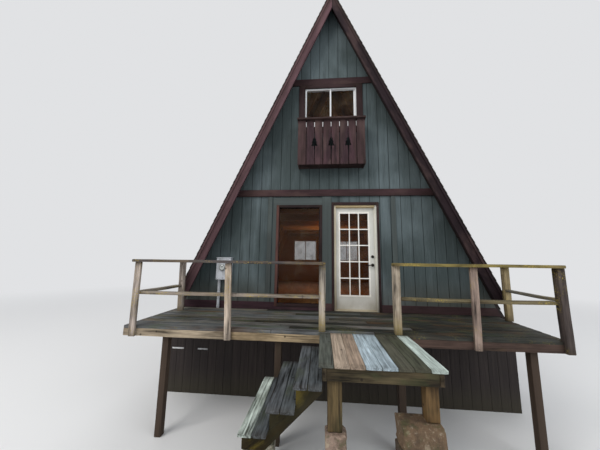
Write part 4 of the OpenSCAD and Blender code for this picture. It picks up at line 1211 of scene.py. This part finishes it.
def meter(s):
    grey = meterPaint(s)
    easedCopy("meter_box", grey, width=0.004, segments=3)
    turnedPiece("meter_dome", s["dome"], [s["dial"]], s["dialSteps"], dialPaint(s), ["meter_dial"])
    turnedPiece("meter_ring", s["ring"], [s["dial"]], s["dialSteps"], grey)
    barPiece("meter_lid", [barRing(s["lid"]), flatBars(*s["hasp"])], [[plain]] * 2, grey)
    turnedPiece("conduit_bands", s["band"], [(*s["pipe"], z) for z in s["bandsAt"]], s["pipeSteps"], grey,
                smooth=50, upright=True)


meter(meterSettings)

# nails and vents

nailSettings = {
    # radius and height of a nail's three rings, above the face that it sits in
    "rings": [(0.0042, -0.0006), (0.0042, 0.00072), (0.00294, 0.0012)], "sides": 8, "sunk": 0.0004,
    "deckRow": 0.045, "deckLoose": (0.006, 0.004), "landingRow": 0.042, "landingLoose": (0.004, 0.004),
    "landingY": (-2.543, -2.02, -1.545), "treadRow": 0.036, "treadY": (-2.531, -1.701),
    # left end, whole width and number of the balcony's boards
    "balcony": (-0.698, 1.344, 8), "balconyRow": 0.048, "balconyFace": -0.2928, "balconyZ": (2.945, 3.622),
    "postX": (-2.881, -1.501, 1.746, 2.806), "postFace": -1.5598, "postZ": (-0.115, -0.062, 0.455),
}


def nailsAt(x, y, z, loose=None):
    # a nail for each point of the grid, in a list, each off its place by up to loose in x and y
    spots = xyz(x, y, z)
    if loose:
        spots[..., :2] += rng.uniform(np.negative(loose), loose, spots.shape[:-1] + (2,))
    return spots.reshape(-1, 3)


def nailHeads(s):
    # low discs with a smaller flat top, on planes that face up or forward
    d, pair = deckSettings, np.array([-1, 1])
    rows = d["front"] + np.arange(d["count"]) * d["pitch"] + d["wide"] / 2
    treadX, treadTop = treadPlaces(treadSettings)
    first, wide, count = s["balcony"]
    boards = first + (np.arange(count) + 0.5) * wide / count
    up = [nailsAt(joistPlaces(d), (rows[:, None] + pair * s["deckRow"])[..., None], -s["sunk"], s["deckLoose"]),
          nailsAt((landingPlaces(landingSettings)[:, None] + pair * s["landingRow"])[:, None],
                  np.array(s["landingY"])[:, None], -s["sunk"], s["landingLoose"]),
          nailsAt((treadX[:, None] + pair * s["treadRow"])[:, None], np.array(s["treadY"])[:, None],
                  (treadTop - s["sunk"])[:, None, None])]
    front = [nailsAt((boards[:, None] + pair * s["balconyRow"])[..., None], s["balconyFace"], s["balconyZ"]),
             nailsAt(np.array(s["postX"])[:, None], s["postFace"], s["postZ"])]
    angle = np.linspace(0, 2 * math.pi, s["sides"], endpoint=False)[:, None]
    rings = []
    for spots, out, other in ((np.concatenate(up), (0, 0, 1), (0, 1, 0)),
                              (np.concatenate(front), (0, -1, 0), (0, 0, 1))):
        disc = np.array([np.multiply(out, high) + radius * (np.cos(angle) * (1, 0, 0) + np.sin(angle) * other)
                         for radius, high in s["rings"]])
        rings.append(spots[:, None, None] + disc)
    rings = np.concatenate(rings)
    flat = np.zeros(rings.shape)
    barPiece("nail_heads", [(rings, flat, flat)], [[plain]], nailSteel, smooth=None)


nailHeads(nailSettings)

ventSettings = {
    "slots": [(-2.994, -2.766), (-2.499, -2.306)], "middle": -0.691, "high": 0.028, "face": -0.3, "slats": 3,
    "deep": 0.015, "thick": 0.0016,
}


def ventDaylightSlats(s):
    # three thin pale slats across each slot in the crawl space wall, tipped down to the front; their pale colour is
    # painted daylight seen through the slots
    x0, x1 = np.repeat(s["slots"], s["slats"], axis=0).T
    z = np.tile(s["middle"] + (np.arange(s["slats"]) - 1) * s["high"] / s["slats"], len(s["slots"]))
    y = s["face"] + s["deep"] / 2
    rings = boardRings(xyz(x0, y, z), xyz(x1, y, z), (0, 1, 1), s["deep"], s["thick"],
                       dict(plainBoard, ease=0.0005, stations=2))
    barPiece("vent_slats_painted_daylight", [rings], [[plain]], whiteVinyl)


ventDaylightSlats(ventSettings)
print("nails and vents done")

# floor of the studio

floorStage = {"size": 60.0, "colour": shade(232, 233, 234), "from": 9.0, "to": 24.0}


def paleFloor(s, lamps):
    # near the cabin a matt floor that takes its shadow; further off it melts into the pale wall
    size = s["size"]
    mesh = bpy.data.meshes.new("floor")
    mesh.from_pydata([(-size, -size, 0), (size, -size, 0), (size, size, 0), (-size, size, 0)], [], [(0, 1, 2, 3)])
    paint = Paint("floorPaint", 0.9)
    paint.finish(BaseColor=s["colour"])
    x, y, z = paint.split(paint.place())
    far = (x * x + y * y).calc("SQRT").band(s["from"], s["to"])
    wall = paint.node("Emission", None, {"Color": lamps["skyColour"], "Strength": lamps["wall"]})
    seen = paint.node("LightPath", out="Is Camera Ray")
    matt = Sock(paint, paint.shader.outputs["BSDF"])
    both = paint.node("MixShader", None, {0: far * seen, 1: matt, 2: wall})
    paint.feed(paint.tree.nodes["Material Output"].inputs["Surface"], both)
    mesh.materials.append(paint.material)
    linked("floor", mesh)


paleFloor(floorStage, lightSettings)
